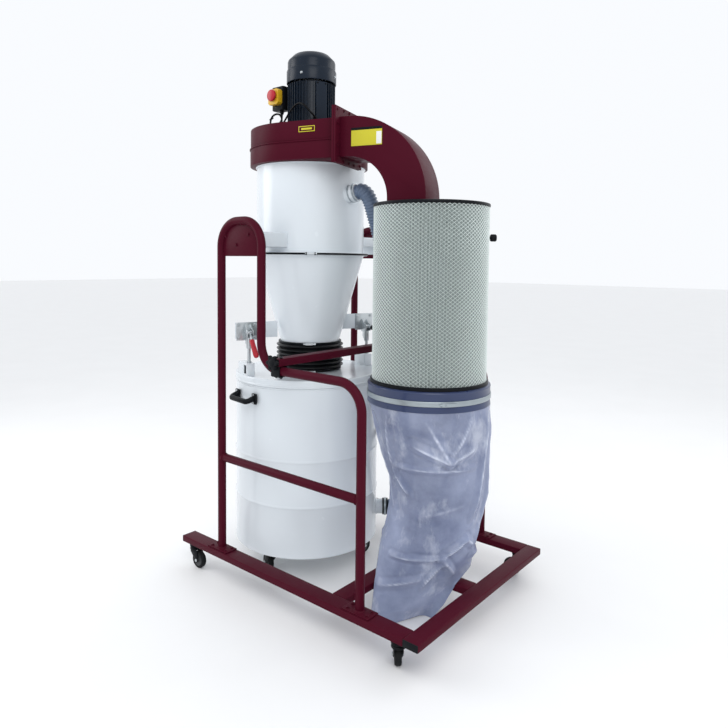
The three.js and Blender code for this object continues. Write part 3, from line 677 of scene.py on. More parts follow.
def makeBase(s):
    z0, z1 = s["z"]
    m = Maker()
    for y0, y1 in (s["near"], s["far"]):
        m.bar(-648, 587, y0, y1, z0, z1)
    m.bar(587, 650, -471, 471, z0, z1)
    m.bar(211, 279, -405.5, 405.5, z0, z1)
    m.bar(279, 587, -48.5, 19.5, z0, z1)
    m.done("baseRails", ["maroonCoat"], "frame", "base_frame", bevel=3, segments=3)
    c = Maker()
    for y0, y1 in (s["near"], s["far"]):
        c.bar(-650, -646, y0 + 1, y1 - 1, z0 + 1, z1 - 1)
    for y in (-471, 471):
        c.bar(588, 649, y - 2.4, y + 2.4, z0 + 1, z1 - 1)
    c.done("railCaps", ["blackPlastic"], "frame", bevel=1.2)


makeBase(baseRails)

tubeFrame = {"r": 17.6, "bend": 105, "y": 436.5}


def makeSideFrame(label, y, s):
    r = s["r"]
    out = -1 if y < 0 else 1
    m = Maker()
    m.tube(bends([(-410, y, 138), (-410, y, 1550), (-157, y, 1550), (-157, y, 955), (372, y, 955),
                  (372, y, 138)], s["bend"], 12), r, 24)
    m.tube([(-410, y, 541), (372, y, 541)], r - 0.5, 24)
    m.prism([(-408, 1405), (-159, 1405), (-159, 1490), (-190, 1540), (-262, 1550), (-305, 1550),
             (-380, 1535), (-408, 1490)], y - 2, y + 2, "y")
    for x in (-410, 372):
        m.bar(x - 62, x + 62, y - 30, y + 30, 136.3, 141.3)
        m.lathe([(r - 2, 141), (r + 4.5, 141.2), (r + 1, 145.5), (r - 2, 147)], x, y, 32)
    for x in (-410, 372):
        turn = Matrix.Translation((x, y, 541)) @ Matrix.Rotation(deg(90), 4, "Y")
        o = r if x < 0 else -r
        m.lathe([(r - 3, o - 3), (r + 3, o - 1), (r + 2, o + 2), (r - 3, o + 4)], n=32, turn=turn)
    m.done("sideFrame_" + label, ["maroonCoat"], "frame", "side_frame_" + label,
           bevel=0.8)
    spots = [((x, y + out * 2.5, z), (0, out, 0)) for x, z in ((-378, 1489), (-234, 1494), (-311, 1452))]
    feet = [(x + dx, y + dy) for x in (-410, 372) for dx in (-45, 45) for dy in (-16, 16)]
    spots += [((u, v, 141.5), (0, 0, 1)) for u, v in feet]
    bolts("frameBolts_" + label, spots, head=6, height=3.5, washer=9, key="maroonCoat")


makeSideFrame("near", -tubeFrame["y"], tubeFrame)
makeSideFrame("far", tubeFrame["y"], tubeFrame)
refine("barrel_bracket_near", "whiteGloss", 1.2)
refine("barrel_bracket_far", "whiteGloss", 1.2)

crossBar = {"x": (-74, -28), "z": (976, 1006), "half": 460.5}


def makeCrossBar(s):
    (x0, x1), (z0, z1), half = s["x"], s["z"], s["half"]
    m = Maker()
    m.bar(x0, x1, -half + 2, half - 2, z0, z1)
    m.bar(x0 + 2, x1 - 2, -half, -half + 3, z0 + 2, z1 - 2, 1)
    m.bar(x0 + 2, x1 - 2, half - 3, half, z0 + 2, z1 - 2, 1)
    m.done("crossBar", ["maroonCoat", "blackPlastic"], "frame", "cross_bar", bevel=3,
           segments=3)
    for label, y in (("near", -436.5), ("far", 436.5)):
        out = -1 if y < 0 else 1
        k = Maker(Matrix.Translation((-51, out * (half + 0.4), (z0 + z1) / 2))
                  @ Matrix.Rotation(deg(-90 * out), 4, "X"))
        outline = []
        for i in range(96):
            a = 2 * math.pi * i / 96
            r = 27 + 5.5 * math.cos(6 * a)
            outline.append((r * math.cos(a), r * math.sin(a)))
        k.prism(outline, 6, 19)
        k.lathe([(0, 0.5), (12, 0.5), (15, 6), (15, 20), (10, 22), (0, 22)], n=32, closed=False)
        k.done("starKnob_" + label, ["blackPlastic"], "star_" + label,
               "star_knob_" + label, bevel=2.2, segments=3)
        u = Maker()
        for x in (-66, -38):
            u.pin((x, y - 2, z1 + 5), (x, y - 2, 926), 3.4, 16)
            u.pin((x, y - 2, z1 + 0.4), (x, y - 2, z1 + 6), 7, 6)
            u.pin((x, y - 2, 928), (x, y - 2, 935), 7, 6)
        u.bar(-76, -28, y - 19, y + 19, 933, 938)
        u.bar(-76, -28, y - 22, y - 17.9, 936, z0 - 0.5)
        u.bar(-76, -28, y + 17.9, y + 22, 936, z0 - 0.5)
        u.done("barSaddle_" + label, ["blackPlastic"], "frame", bevel=1.2)


makeCrossBar(crossBar)
print("frame made")

# casters
casterSpots = {
    "near_left": (-596, -439.5, 108.5, 0, "frame"), "near_right": (548, -439.5, 108.5, 130, "frame"),
    "far_left": (-596, 439.5, 108.5, 20, "frame"), "far_right": (560, 439.5, 108.5, 200, "frame"),
}
for label, angle, trail in (("a", 275, 160), ("b", 35, 80), ("c", 155, 200)):
    casterSpots["drum_" + label] = (-316 + 250 * math.cos(deg(angle)),
                                    -9.5 + 250 * math.sin(deg(angle)), 113, trail, "drum")
wheelDims = {"r": 37.5, "half": 12, "trail": 26, "z": 37.5}


def makeCaster(label, x, y, top, trailAngle, w):
    m = Maker(around(x, y, trailAngle))
    m.lathe([(0, top - 6), (24, top - 6), (27, top - 9), (27, top - 14), (20, top - 17), (20, 86),
             (0, 86)], n=40, closed=False)
    m.bar(-25, 25, -21, 21, top - 4, top - 0.5)
    m.lathe([(0, 90), (23, 90), (26, 86), (26, 80), (0, 78)], n=40, closed=False)
    for side in (-1, 1):
        outline = [(-18, 86), (24, 86), (w["trail"] + 12, w["z"] + 6), (w["trail"] + 11, w["z"] - 6),
                   (w["trail"] + 3, w["z"] - 11), (w["trail"] - 5, w["z"] - 10),
                   (w["trail"] - 12, w["z"] - 2), (-18, 68)]
        y0 = 14 if side > 0 else -17
        m.prism(outline, y0, y0 + 3, "y")
    m.pin((w["trail"], -20, w["z"]), (w["trail"], 20, w["z"]), 3.9, 20, 1)
    m.pin((w["trail"], -21, w["z"]), (w["trail"], -17, w["z"]), 7, 6, 1)
    m.pin((w["trail"], 17, w["z"]), (w["trail"], 21, w["z"]), 7, 6, 1)
    m.done("casterFork_" + label, ["blackSteel", "zincPlate"], "fork_" + label,
           "caster_fork_" + label, bevel=0.8)
    k = Maker(around(x, y, trailAngle))
    turn = Matrix.Translation((w["trail"], 0, w["z"])) @ Matrix.Rotation(deg(90), 4, "X")
    r, h = w["r"], w["half"]
    k.lathe([(27, -h + 1), (r - 4, -h), (r - 1.4, -h + 2), (r, -h + 5), (r, h - 5), (r - 1.4, h - 2),
             (r - 4, h), (27, h - 1)], n=56, turn=turn)
    k.lathe([(4.4, -h - 1), (10, -h - 1), (11, -h + 3), (25, -h + 4), (28, -h + 1), (28, h - 1),
             (25, h - 4), (11, h - 3), (10, h + 1), (4.4, h + 1)], n=40, m=1, turn=turn)
    k.done("casterWheel_" + label, ["wheelRubber", "hubGrey"], "wheel_" + label,
           "caster_wheel_" + label, smooth=40)


for label, (x, y, top, trail, body) in casterSpots.items():
    makeCaster(label, x, y, top, trail, wheelDims)
print("casters made")

# cyclone
cyclone = {"x": -309, "y": -1.5, "r": 247, "top": 1811, "split": 1418, "neck": 136, "neckZ": 1021}


def makeCyclone(s):
    x, y, r = s["x"], s["y"], s["r"]
    m = Maker()
    m.lathe([(r - 3, 1422), (r + 17, 1422), (r + 18, 1423.5), (r + 17, 1425), (r + 2, 1425.5),
             (r, 1428), (r, 1806), (r + 5, 1808), (r + 5, 1810.5), (r - 3, 1810.5)], x, y, 160)
    m.place = around(x, y, 62)
    m.bar(r - 1, r + 0.9, -5, 5, 1430, 1806)
    m.done("barrelShell", ["whiteGloss"], "frame", "cyclone_barrel", smooth=30)
    c = Maker()
    c.lathe([(s["neck"] - 3, 990.5), (s["neck"], 990.5), (s["neck"], 1016), (s["neck"] + 1, 1022),
             (r - 2, 1406), (r, 1411), (r + 1, 1413), (r + 17, 1414), (r + 18, 1416), (r + 17, 1417.7),
             (r - 4, 1417.7), (s["neck"] - 3, 1022)], x, y, 160)
    c.done("coneShell", ["whiteGloss"], "frame", "cyclone_cone", smooth=30)
    ring = Maker()
    arc = [deg(-42 + 353 * k / 150) for k in range(151)]
    ring.tube([(x + (r + 17) * math.cos(a), y + (r + 17) * math.sin(a), 1419.5) for a in arc], 4.6, 14)
    for a in (-41.5, 310.5):
        ring.place = around(x, y, a)
        ring.bar(r + 14, r + 26, -2.5, 2.5, 1413.5, 1425.5)
    ring.place = Matrix.Identity(4)
    ring.done("splitRing", ["blackSteel"], "frame", "split_ring", smooth=50)
    pinch = Maker(around(x, y, -45.5))
    pinch.pin((r + 21, -24, 1419.5), (r + 21, 24, 1419.5), 2.2, 12)
    pinch.pin((r + 21, 20.5, 1419.5), (r + 21, 25, 1419.5), 4.4, 6)
    pinch.done("splitPinch", ["zincPlate"], "frame")


makeCyclone(cyclone)

inlet = {"angle": 130, "offset": 172, "r": 75, "length": 268, "z": 1525}


def makeInlet(s):
    m = Maker()
    a = deg(s["angle"])
    along = Vector((math.cos(a), math.sin(a), 0))
    outward = Vector((-math.sin(a), math.cos(a), 0))
    foot = Vector((-309, -1.5, s["z"])) + outward * s["offset"]
    turn = facing(foot, along)
    length, r = s["length"], s["r"]
    m.lathe([(r - 2, 60), (r, 60), (r, length - 7), (100, length - 6), (102, length - 4),
             (102, length - 1), (100, length), (r - 2, length)], n=64, turn=turn)
    for z in (115, length - 22):
        m.lathe([(r - 1, z - 4), (r + 2.5, z - 1.5), (r + 2.5, z + 1.5), (r - 1, z + 4)], n=64,
                turn=turn)
    m.done("inletDuct", ["whiteGloss"], "frame", "inlet_duct", smooth=40)
    spots = []
    for k in range(6):
        b = 2 * math.pi * k / 6
        p = turn @ Vector((88 * math.cos(b), 88 * math.sin(b), length - 6))
        spots.append((tuple(p), tuple(-along)))
    bolts("inletBolts", spots, head=5, height=3.5, washer=8)


makeInlet(inlet)


def makeHosePort():
    m = Maker()
    start, end = Vector((-74, -11, 1680)), Vector((-20.3, -6.03, 1689.9))
    turn = facing(start, end - start)
    length = (end - start).length
    m.lathe([(32, 0), (37.5, 0), (37.5, 14), (40, 18), (40, length - 9), (38, length - 1), (36, length),
             (32, length)], n=48, turn=turn)
    for z in (length - 6, 26):
        m.lathe([(38.5, z - 3.5), (41, z - 3.5), (41, z + 3.5), (38.5, z + 3.5)], n=48, m=1, turn=turn)
    m.done("hosePort", ["whiteGloss", "bandSteel"], "frame", "hose_port", smooth=40)


makeHosePort()
print("cyclone made")

# fan, outlet and motor
headPlace = around(-309, -1.5, 16)
fan = {"r": 280, "rEnd": 258, "z0": 1811.3, "z1": 1972, "outS": 272, "far": -96, "sweep": 291.8}


def scrollLine(s, grow=0.0, steps=110):
    pts = [(s["outS"] - 9, -s["r"] - grow), (0, -s["r"] - grow)]
    for k in range(1, steps + 1):
        t = k / steps
        a = deg(-90 - s["sweep"] * t)
        r = s["r"] + (s["rEnd"] - s["r"]) * t + grow
        pts.append((r * math.cos(a), r * math.sin(a) if k < steps else s["far"] + grow))
    return pts + [(s["outS"] - 9, s["far"] + grow)]


# the bolts round the flange between fan and duct, on the side that way points to
def flangeSpots(x, way):
    sides = [(n, z) for z in (1800, 1855, 1943, 1998) for n in (-300, -76)]
    ends = [(n, z) for n in (-240, -188, -136) for z in (1796, 2002)]
    return [((x, n, z), (way, 0, 0)) for n, z in sides + ends]


def makeFan(s):
    m = Maker(headPlace)
    m.prism(scrollLine(s, 0.6), s["z0"], 1886)
    m.prism(scrollLine(s, 4.0), 1884, 1889)
    m.prism(scrollLine(s, -1.2), 1889, s["z1"] - 1)
    m.bar(263, 271.7, -318, -58, 1786, 2012)
    m.lathe([(0, s["z1"] - 2), (150, s["z1"] - 2), (150, s["z1"] + 0.2), (0, s["z1"] + 0.2)], n=96,
            closed=False)
    m.done("fanHousing", ["maroonCoat"], "frame", "fan_housing", bevel=1.4)
    spots = []
    for k in range(10):
        a = deg(-90 - s["sweep"] * (k + 0.5) / 10.5)
        spots.append(((272 * math.cos(a), 272 * math.sin(a), 1889.5), (0, 0, 1)))
    spots += flangeSpots(262.6, -1)
    bolts("fanBolts", spots, head=4.5, height=3, washer=7, key="maroonCoat",
          place=headPlace)


makeFan(fan)

elbow = {"s": 318, "z": 1640, "inner": 171, "outer": 332, "near": -279.4, "far": -96, "foot": 1618.3}


def makeDuct(s):
    def outline(inset=0.0):
        pts = [(281, s["z"] + s["inner"] + inset)]
        for k in range(33):
            a = deg(90 - 90 * k / 32)
            pts.append((s["s"] + (s["inner"] + inset) * math.cos(a), s["z"] + (s["inner"] + inset)
                        * math.sin(a)))
        pts += [(s["s"] + s["inner"] + inset, s["foot"]), (s["s"] + s["outer"] - inset, s["foot"])]
        for k in range(33):
            a = deg(90 * k / 32)
            pts.append((s["s"] + (s["outer"] - inset) * math.cos(a), s["z"] + (s["outer"] - inset)
                        * math.sin(a)))
        return pts + [(281, s["z"] + s["outer"] - inset)]

    m = Maker(headPlace)
    m.prism(outline(), s["near"], s["far"], "y")
    m.bar(272.3, 281, -318, -58, 1786, 2012)
    m.bar(s["s"] + s["inner"] - 22, s["s"] + s["outer"] + 22, s["near"] - 8, s["far"] + 22, s["foot"],
          s["foot"] + 4)
    m.done("outletDuct", ["maroonCoat"], "frame", "outlet_duct", bevel=1.6)
    g = Maker(headPlace)
    g.bar(271.2, 272.8, -316, -60, 1788, 2010)
    g.done("ductGasket", ["bellowsRubber"], "frame", bevel=0.3)
    spots = flangeSpots(281.4, 1)
    x0, x1 = s["s"] + s["inner"] - 11, s["s"] + s["outer"] + 11
    for n in (-265, -188, -110):
        spots += [((x0, n, s["foot"] + 4.4), (0, 0, 1)), ((x1, n, s["foot"] + 4.4), (0, 0, 1))]
    bolts("ductBolts", spots, head=4.5, height=3, washer=7, key="maroonCoat",
          place=headPlace)


makeDuct(elbow)

labels = {"s": (333, 466), "z": (1850, 1921)}


def makeLabels(s):
    m = Maker(headPlace)
    s0, s1 = s["s"]
    z0, z1 = s["z"]
    m.bar(s0, s1, -280.2, -279.5, z0, z1)
    m.bar(s1 - 24, s1 - 2, -280.6, -280.1, z0 + 4, z0 + 52, 1)
    m.bar(s0, s1, -280.6, -280.1, z1 - 9, z1 + 1, 2)
    m.done("ductLabel", ["labelYellow", "labelWhite", "blackPlastic"], "frame",
           bevel=0.2)
    k = Maker(headPlace)
    k.bar(92, 168, -281.6, -280.8, 1922, 1946)
    k.bar(95, 165, -281.9, -281.5, 1925, 1943, 1)
    k.bar(105, 155, -282.2, -281.8, 1930, 1938)
    k.done("housingLabel", ["labelYellow", "maroonCoat"], "frame", bevel=0.2)


makeLabels(labels)

motor = {"r": 100, "fin": 108, "fins": 44, "z0": 1992, "z1": 2190}


def finTree():
    tree = newTree("finRing", Count=44, Radius=0.1, Depth=0.01, Thick=0.0022, Height=0.19,
                   Paint=look["motorGloss"])
    f = Flow(tree)
    i = f.start.outputs
    circle = f.add("GeometryNodeMeshCircle", {"fill_type": "NONE"}, Vertices=i["Count"],
                   Radius=i["Radius"])
    size = f.add("ShaderNodeCombineXYZ", X=i["Depth"], Y=i["Thick"], Z=i["Height"])
    fin = f.add("GeometryNodeMeshCube", Size=size.outputs[0])
    position = f.add("GeometryNodeInputPosition")
    turn = f.add("FunctionNodeAlignRotationToVector", {"axis": "X"}, Vector=position.outputs[0])
    put = f.add("GeometryNodeInstanceOnPoints", Points=circle.outputs[0], Instance=fin.outputs[0],
                Rotation=turn.outputs[0])
    f.finish(put.outputs[0], i["Paint"])
    return tree


finRing = finTree()


# a ring of blocks round a vertical axis, moved to its centre
def ringOf(name, centre, body, slotName, key, bevel=0.4, turn=0.0, **values):
    obj = runTree(seed(name), finRing, Paint=look[key], **values)
    obj.data.transform(Matrix.Translation(at(*centre)) @ Matrix.Rotation(deg(turn), 4, "Z"))
    if bevel:
        applyBevel(obj, bevel, 1)
    shade(obj.data, 35)
    return own(obj, body)


def makeMotor(s):
    x, y = -309, -1.5
    m = Maker()
    m.lathe([(0, 1972.6), (124, 1972.6), (126, 1974.5), (126, 1982), (124, 1984.5), (112, 1985),
             (s["r"], 1992), (s["r"], 2188), (94, 2193.5), (0, 2193.5)], x, y, 96, closed=False)
    m.place = headPlace @ Matrix.Rotation(deg(52), 4, "Z")
    m.bar(-25, 25, -113.6, -84, 1997, 2185)
    m.place = headPlace @ Matrix.Rotation(deg(-38), 4, "Z")
    m.bar(-20, 20, -122, -90, 1986, 2004)
    m.done("motorBody", ["motorGloss"], "frame", "motor_body", bevel=2.5, segments=3)
    ringOf("motorFins", (x, y, 2094), "frame", "motor_paint", "motorGloss", 0.5, Count=s["fins"],
           Radius=0.103, Depth=0.012, Thick=0.0024, Height=0.186)
    corners = [deg(a) for a in (20, 110, 200, 290)]
    spots = [((118 * math.cos(a), 118 * math.sin(a), 1984.8), (0, 0, 1)) for a in corners]
    bolts("motorBolts", spots, head=6, height=5.5, washer=9, place=headPlace)
    screws = []
    turned = Matrix.Rotation(deg(52), 4, "Z")
    for dx in (-19, 19):
        for z in (2004, 2178):
            screws.append((tuple(turned @ Vector((dx, -113.9, z))), tuple(turned @ Vector((0, -1, 0)))))
    bolts("padScrews", screws, head=3.2, height=2, washer=4, sides=16, key="blackSteel",
          place=headPlace)
    c = Maker()
    c.lathe([(109, 2194.5), (113, 2194.5), (113.5, 2198), (113.5, 2248), (112, 2251.5), (109.5, 2253),
             (109, 2256), (109, 2288), (106, 2297), (82, 2321), (76, 2324.5), (60, 2325), (60, 2321),
             (75, 2320), (80, 2317.5), (102.5, 2295), (105.5, 2287), (105.5, 2254), (109.5, 2249),
             (110, 2198)], x, y, 96)
    for r in (10, 24, 38, 52):
        c.lathe([(r - 2.6, 2321.5), (r + 2.6, 2321.5), (r + 2.6, 2325.5), (r - 2.6, 2325.5)], x, y, 64)
    c.lathe([(0, 2320), (8, 2320), (8, 2326.5), (0, 2326.5)], x, y, 32, closed=False)
    for k in range(6):
        c.place = around(x, y, 30 + 60 * k)
        c.bar(4, 64, -3, 3, 2320, 2324)
    c.done("fanCowl", ["motorGloss"], "frame", "fan_cowl", bevel=1)
    spots = [((113.6 * math.cos(deg(a)), 113.6 * math.sin(deg(a)), 2222),
              (math.cos(deg(a)), math.sin(deg(a)), 0)) for a in (-85, 5, 95, 185)]
    bolts("cowlScrews", spots, head=4.5, height=3, washer=6, sides=16, place=headPlace)


makeMotor(motor)


def makeGland():
    m = Maker()
    end = Vector((-216, -74, 2020))
    inward = Vector((-0.74, 0.67, 0))
    m.pin(end - inward * 14, end + inward * 4, 5.2, 20, r2=8.5)
    m.pin(end + inward * 2, end + inward * 8, 11, 6)
    m.pin(end + inward * 7, end + inward * 22, 8.5, 20)
    m.done("leadGland", ["blackPlastic"], "frame", bevel=0.6)


makeGland()

switch = {"x": (-482, -412), "y": (-85, -35), "z": (2085, 2193), "buttonX": -443, "buttonZ": 2144}


def makeSwitch(s):
    (x0, x1), (y0, y1), (z0, z1) = s["x"], s["y"], s["z"]
    bx, bz = s["buttonX"], s["buttonZ"]
    m = Maker()
    m.bar(x0, x1, y0 + 6, y1, z0, z1)
    m.bar(x0 + 1, x1 - 1, y0, y0 + 7, z0 + 1, z1 - 1)
    m.bar(x1 - 4, -404, y1 - 13, y1 - 1, 2112, 2158)
    m.lathe([(5, z0 - 16), (7, z0 - 16), (9.5, z0 - 8), (9.5, z0 + 2), (5, z0 + 2)], bx, y0 + 25, 32)
    m.done("switchBox", ["blackPlastic"], "frame", "switch_box", bevel=2.5, segments=3)
    c = Maker()
    c.prism([(x0 + 2, z0 + 29), (x0 + 10, z0 + 21), (x1 - 10, z0 + 21), (x1 - 2, z0 + 29),
             (x1 - 2, z1 - 25), (x1 - 10, z1 - 17), (x0 + 10, z1 - 17), (x0 + 2, z1 - 25)], y0 - 28,
            y0 - 0.6, "y")
    c.lathe([(24, 0), (27, 0), (27, 2.4), (24, 2.4)], n=48,
            turn=Matrix.Translation((bx, y0 - 26, bz)) @ Matrix.Rotation(deg(90), 4, "X"))
    c.done("switchCover", ["yellowShell"], "cover", "switch_cover", bevel=4,
           segments=4)
    b = Maker()
    turn = Matrix.Translation((bx, y0 - 22, bz)) @ Matrix.Rotation(deg(90), 4, "X")
    b.lathe([(0, 0), (8.5, 0), (8.5, 13), (24, 14), (26.5, 16), (27, 20), (25, 24), (18, 27), (7, 28),
             (0, 28.2)], n=64, turn=turn, closed=False)
    b.done("stopButton", ["redGrip"], "stop", "stop_button", smooth=40)
    g = Maker()
    g.bar(bx - 9.5, bx + 9.5, y0 - 3.4, y0 + 2.4, z0 + 27.5, z0 + 42.5)
    g.done("startButton", ["blackPlastic"], "start", "start_button", bevel=1.2)


makeSwitch(switch)
print("head made")

# toggle clamps
clampPlace = around(-309, -1.5, 342)
clamps = {"near": {"along": -318, "droop": 39, "raise": -15},
          "far": {"along": 295, "droop": 88, "raise": 4}}


def makeClamp(end, s):
    along = s["along"]
    way = -1 if along < 0 else 1
    px = 30.8
    pivotX, pivotZ = px + 6, 1072
    m = Maker(clampPlace)
    ys = sorted((way * 168, along + way * 52))
    low, high = 1058 + s["raise"], 1130 + s["raise"]
    m.bar(-2.5, 2.5, *ys, low, high)
    m.done("clampArm_" + end, ["whiteGloss"], "frame", "clamp_arm_" + end, bevel=1)
    b = Maker(clampPlace)
    b.bar(2.8, 5.8, along - 48, along + 48, low - 8, high)
    b.lathe([(7.4, 1002), (12, 1002), (12, 1049), (10.5, 1051), (7.4, 1051)], px, along, 32)
    b.bar(5, px - 8, along - 7, along + 7, 1020, 1050)
    for y in (-15, 11):
        b.prism([(5, 1046), (px + 16, 1052), (px + 18, 1066), (px + 14, 1084), (px, 1087), (12, 1106),
                 (5, 1106)], along + y, along + y + 4, "y")
    b.bar(5, 10, along - 14, along + 14, 1046, 1106)
    b.prism([(5, 1012), (px - 10, 1003), (px - 10, 1008), (5, 1048)], along - 3, along + 3, "y")
    b.done("clampBase_" + end, ["zincPlate"], "frame", "toggle_base_" + end, bevel=0.7)
    spots = [((6.2, along + dy, z), (1, 0, 0)) for dy in (-38, 38) for z in (low + 4, high - 11)]
    spots += [((-2.8, along + dy, z), (-1, 0, 0)) for dy in (-38, 38) for z in (low + 4, high - 11)]
    bolts("clampScrews_" + end, spots, head=5, height=4, washer=8, place=clampPlace)
    r = Maker(clampPlace)
    r.pin((px, along, 902), (px, along, 1022), 7, 32)
    for z0, z1 in ((926, 933), (939, 946)):
        r.pin((px, along, z0), (px, along, z1), 12, 6)
    r.done("liftRod_" + end, ["zincPlate"], "lid", "lift_rod_" + end, bevel=0.8)
    d = Vector((math.sin(deg(s["droop"])), 0, -math.cos(deg(s["droop"]))))
    pivot = Vector((pivotX, along, pivotZ))
    h = Maker(clampPlace)
    h.pin(pivot, pivot + d * 44, 5.5, 20)
    h.pin(pivot + Vector((0, -10, 0)), pivot + Vector((0, 10, 0)), 8.8, 28)
    h.pin(pivot + Vector((0, -18.8, 0)), pivot + Vector((0, 18.8, 0)), 4, 20)
    h.tube([pivot + d * t for t in (38, 41, 46, 60, 80, 104, 118, 125, 128)],
           [7, 10.5, 11.4, 10.6, 11.4, 12, 11.6, 9.5, 5.5], 28, 1)
    grip = "redGrip" if end == "near" else "blackPlastic"
    h.done("clampHandle_" + end, ["zincPlate", grip], "handle_" + end,
           "toggle_handle_" + end, bevel=0.6,
           smooth=45)


for end, values in clamps.items():
    makeClamp(end, values)

# lid and bellows
lid = {"x": -316, "y": -9.5, "r": 332, "top": 884, "collar": 136}


def makeLid(s):
    x, y, r, top = s["x"], s["y"], s["r"], s["top"]
    m = Maker()
    m.lathe([(134, top - 4.5), (r - 5, top - 8), (r - 3, 850.6), (r, 850.2), (r + 1.5, 852),
             (r + 1.5, 858), (r, 860), (r, top - 6), (r - 2.5, top - 1.5), (r - 8, top - 0.4),
             (r - 22, top - 2.4), (180, top - 0.8), (134, top)], x, y, 160)
    m.lathe([(134, top - 5), (142, top - 5), (137.5, top + 2.5), (136, top + 6), (136, 923), (134, 923)],
            -309, -1.5, 128)
    m.done("lidShell", ["whiteGloss"], "lid", "drum_lid", smooth=30)
    b = Maker(clampPlace)
    for end, along, way in (("near", -318, -1), ("far", 295, 1)):
        px = 30.8
        y0, y1 = along - 19, along + 19
        b.bar(px - 78, px + 20, y0, y1, 935, 938)
        b.bar(px - 78, px - 75, y0, y1, 881, 937)
        b.bar(px + 17, px + 20, y0, y1, 881, 937)
        inner = y1 if way < 0 else y0
        b.bar(px - 77, px + 19, min(inner, inner + 3 * way), max(inner, inner + 3 * way), 881, 937)
        outer = y0 if way < 0 else y1
        face = (outer, outer + 3) if way < 0 else (outer - 3, outer)
        b.bar(px - 77, px - 13, *face, 881, 937)
        b.bar(px + 13, px + 19, *face, 881, 937)
        b.bar(px - 14, px + 14, *face, 881, 892)
        b.bar(px - 14, px + 14, *face, 928, 937)
    b.done("lidBrackets", ["whiteGloss"], "lid", bevel=1.2)
    g = Maker()
    g.lathe([(324, 849.9), (329.5, 849.9), (329.5, 857), (324, 857)], x, y, 128)
    g.done("lidSeal", ["bellowsRubber"], "lid", smooth=50)


makeLid(lid)

bellows = {"z0": 898, "z1": 1012, "rings": 6, "rOut": 156, "rIn": 143}


def makeBellows(s):
    x, y = -309, -1.5
    pitch = (s["z1"] - s["z0"]) / s["rings"]
    skin = []
    for k in range(s["rings"]):
        for j in range(10):
            t = j / 10
            w = 0.5 - 0.5 * math.cos(2 * math.pi * t)
            skin.append((s["rIn"] + (s["rOut"] - s["rIn"]) * w ** 0.7, s["z0"] + (k + t) * pitch))
    skin += [(s["rIn"], s["z1"]), (140, s["z1"]), (140, s["z0"])]
    m = Maker()
    m.lathe(skin, x, y, 128)
    obj = m.done("bellowsHose", ["bellowsRubber"], "frame", "bellows_hose", smooth=50)
    at(x, y, s["z1"])
    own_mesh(obj)
    for name, z, body in (("lower", 887.7, "lid"), ("upper", 1012.3, "frame")):
        c = Maker()
        c.lathe([(137.5, z), (145.5, z), (146.5, z + 1), (146.5, z + 7.6), (145.5, z + 8.6),
                 (137.5, z + 8.6)], x, y, 128)
        c.place = around(x, y, -47)
        c.bar(143, 158, -16, 16, z + 0.5, z + 8.4)
        c.pin((151, -26, z + 4.4), (151, 26, z + 4.4), 3.6, 16)
        c.pin((151, 22, z + 4.4), (151, 29, z + 4.4), 5.2, 6)
        c.slots = [0 if i < 128 * 6 else 1 for i in range(len(c.slots))]
        c.done("bellowsClamp_" + name, ["blackSteel", "zincPlate"], body,
               "bellows_clamp_" + name, bevel=0.5)


makeBellows(bellows)

# drum
drum = {"x": -316, "y": -9.5, "r": 329, "z0": 113, "z1": 849.7, "beads": (336, 534), "port": 225}


def makeDrum(s):
    x, y, r = s["x"], s["y"], s["r"]
    outside = [(0, s["z0"]), (r - 9, s["z0"]), (r - 2, s["z0"] + 1), (r + 1.5, s["z0"] + 4),
               (r + 1.5, s["z0"] + 13), (r, s["z0"] + 17)]
    for z in s["beads"]:
        outside += [(r, z - 9), (r + 1.2, z - 6), (r + 3, z - 2), (r + 3, z + 2), (r + 1.2, z + 6),
                    (r, z + 9)]
    outside += [(r, s["z1"] - 8), (r + 2, s["z1"] - 5), (r + 2, s["z1"] - 1), (r, s["z1"]),
                (r - 2.5, s["z1"])]
    inside = [(r - 2.5, s["z0"] + 8), (r - 8, s["z0"] + 3), (0, s["z0"] + 3)]
    m = Maker()
    m.lathe(outside + inside, x, y, 180, closed=False)
    m.place = around(x, y, 60)
    m.bar(r - 1, r + 0.8, -4, 4, s["z0"] + 18, s["z1"] - 9)
    m.place = Matrix.Identity(4)
    e = Vector((math.cos(deg(39.5)), math.sin(deg(39.5)), 0))
    turn = facing((x, y, s["port"]), e)
    m.lathe([(31, r - 4), (34, r - 4), (34, r + 55), (31, r + 55)], n=48, turn=turn)
    m.lathe([(33, r - 2), (40, r - 2), (36, r + 4), (33, r + 6)], n=48, turn=turn)
    m.done("drumShell", ["whiteGloss"], "drum", "drum_body", smooth=30)
    c = Maker()
    c.lathe([(34.2, r + 30), (38, r + 30), (38, r + 56), (34.2, r + 56)], n=48, turn=turn)
    c.lathe([(38, r + 38), (40.5, r + 38), (40.5, r + 48), (38, r + 48)], n=48, m=1, turn=turn)
    c.done("portCuff", ["bellowsRubber", "bandSteel"], "drum", bevel=0.5)
    for end, angle in (("near", 261), ("far", 77)):
        h = Maker(around(x, y, angle, 793))
        path = bends([(r + 2, -68, 6), (r + 42, -68, -8), (r + 42, 68, -8), (r + 2, 68, 6)], 18, 8)
        h.tube(path, 11.6, 20)
        for v in (-68, 68):
            h.bar(r - 1.2, r + 9, v - 16, v + 16, -22, 24)
        h.done("drumHandle_" + end, ["blackPlastic"], "drum", "drum_handle_" + end,
               bevel=3, segments=3)
        place = around(x, y, angle, 793)
        bolts("handleScrews_" + end,
              [((r + 9.4, v, z), (1, 0, 0)) for v in (-68, 68) for z in (-15, 18)], "drum", 4, 2.5, 5,
              16, place=place)


makeDrum(drum)
print("drum made")

# filter
filterSet = {"x": 360, "y": -0.5, "r": 228.5, "z0": 914, "z1": 1606, "pleats": 100,
             "strands": 150, "steps": 98, "thick": 0.0014, "sway": 0.0044}


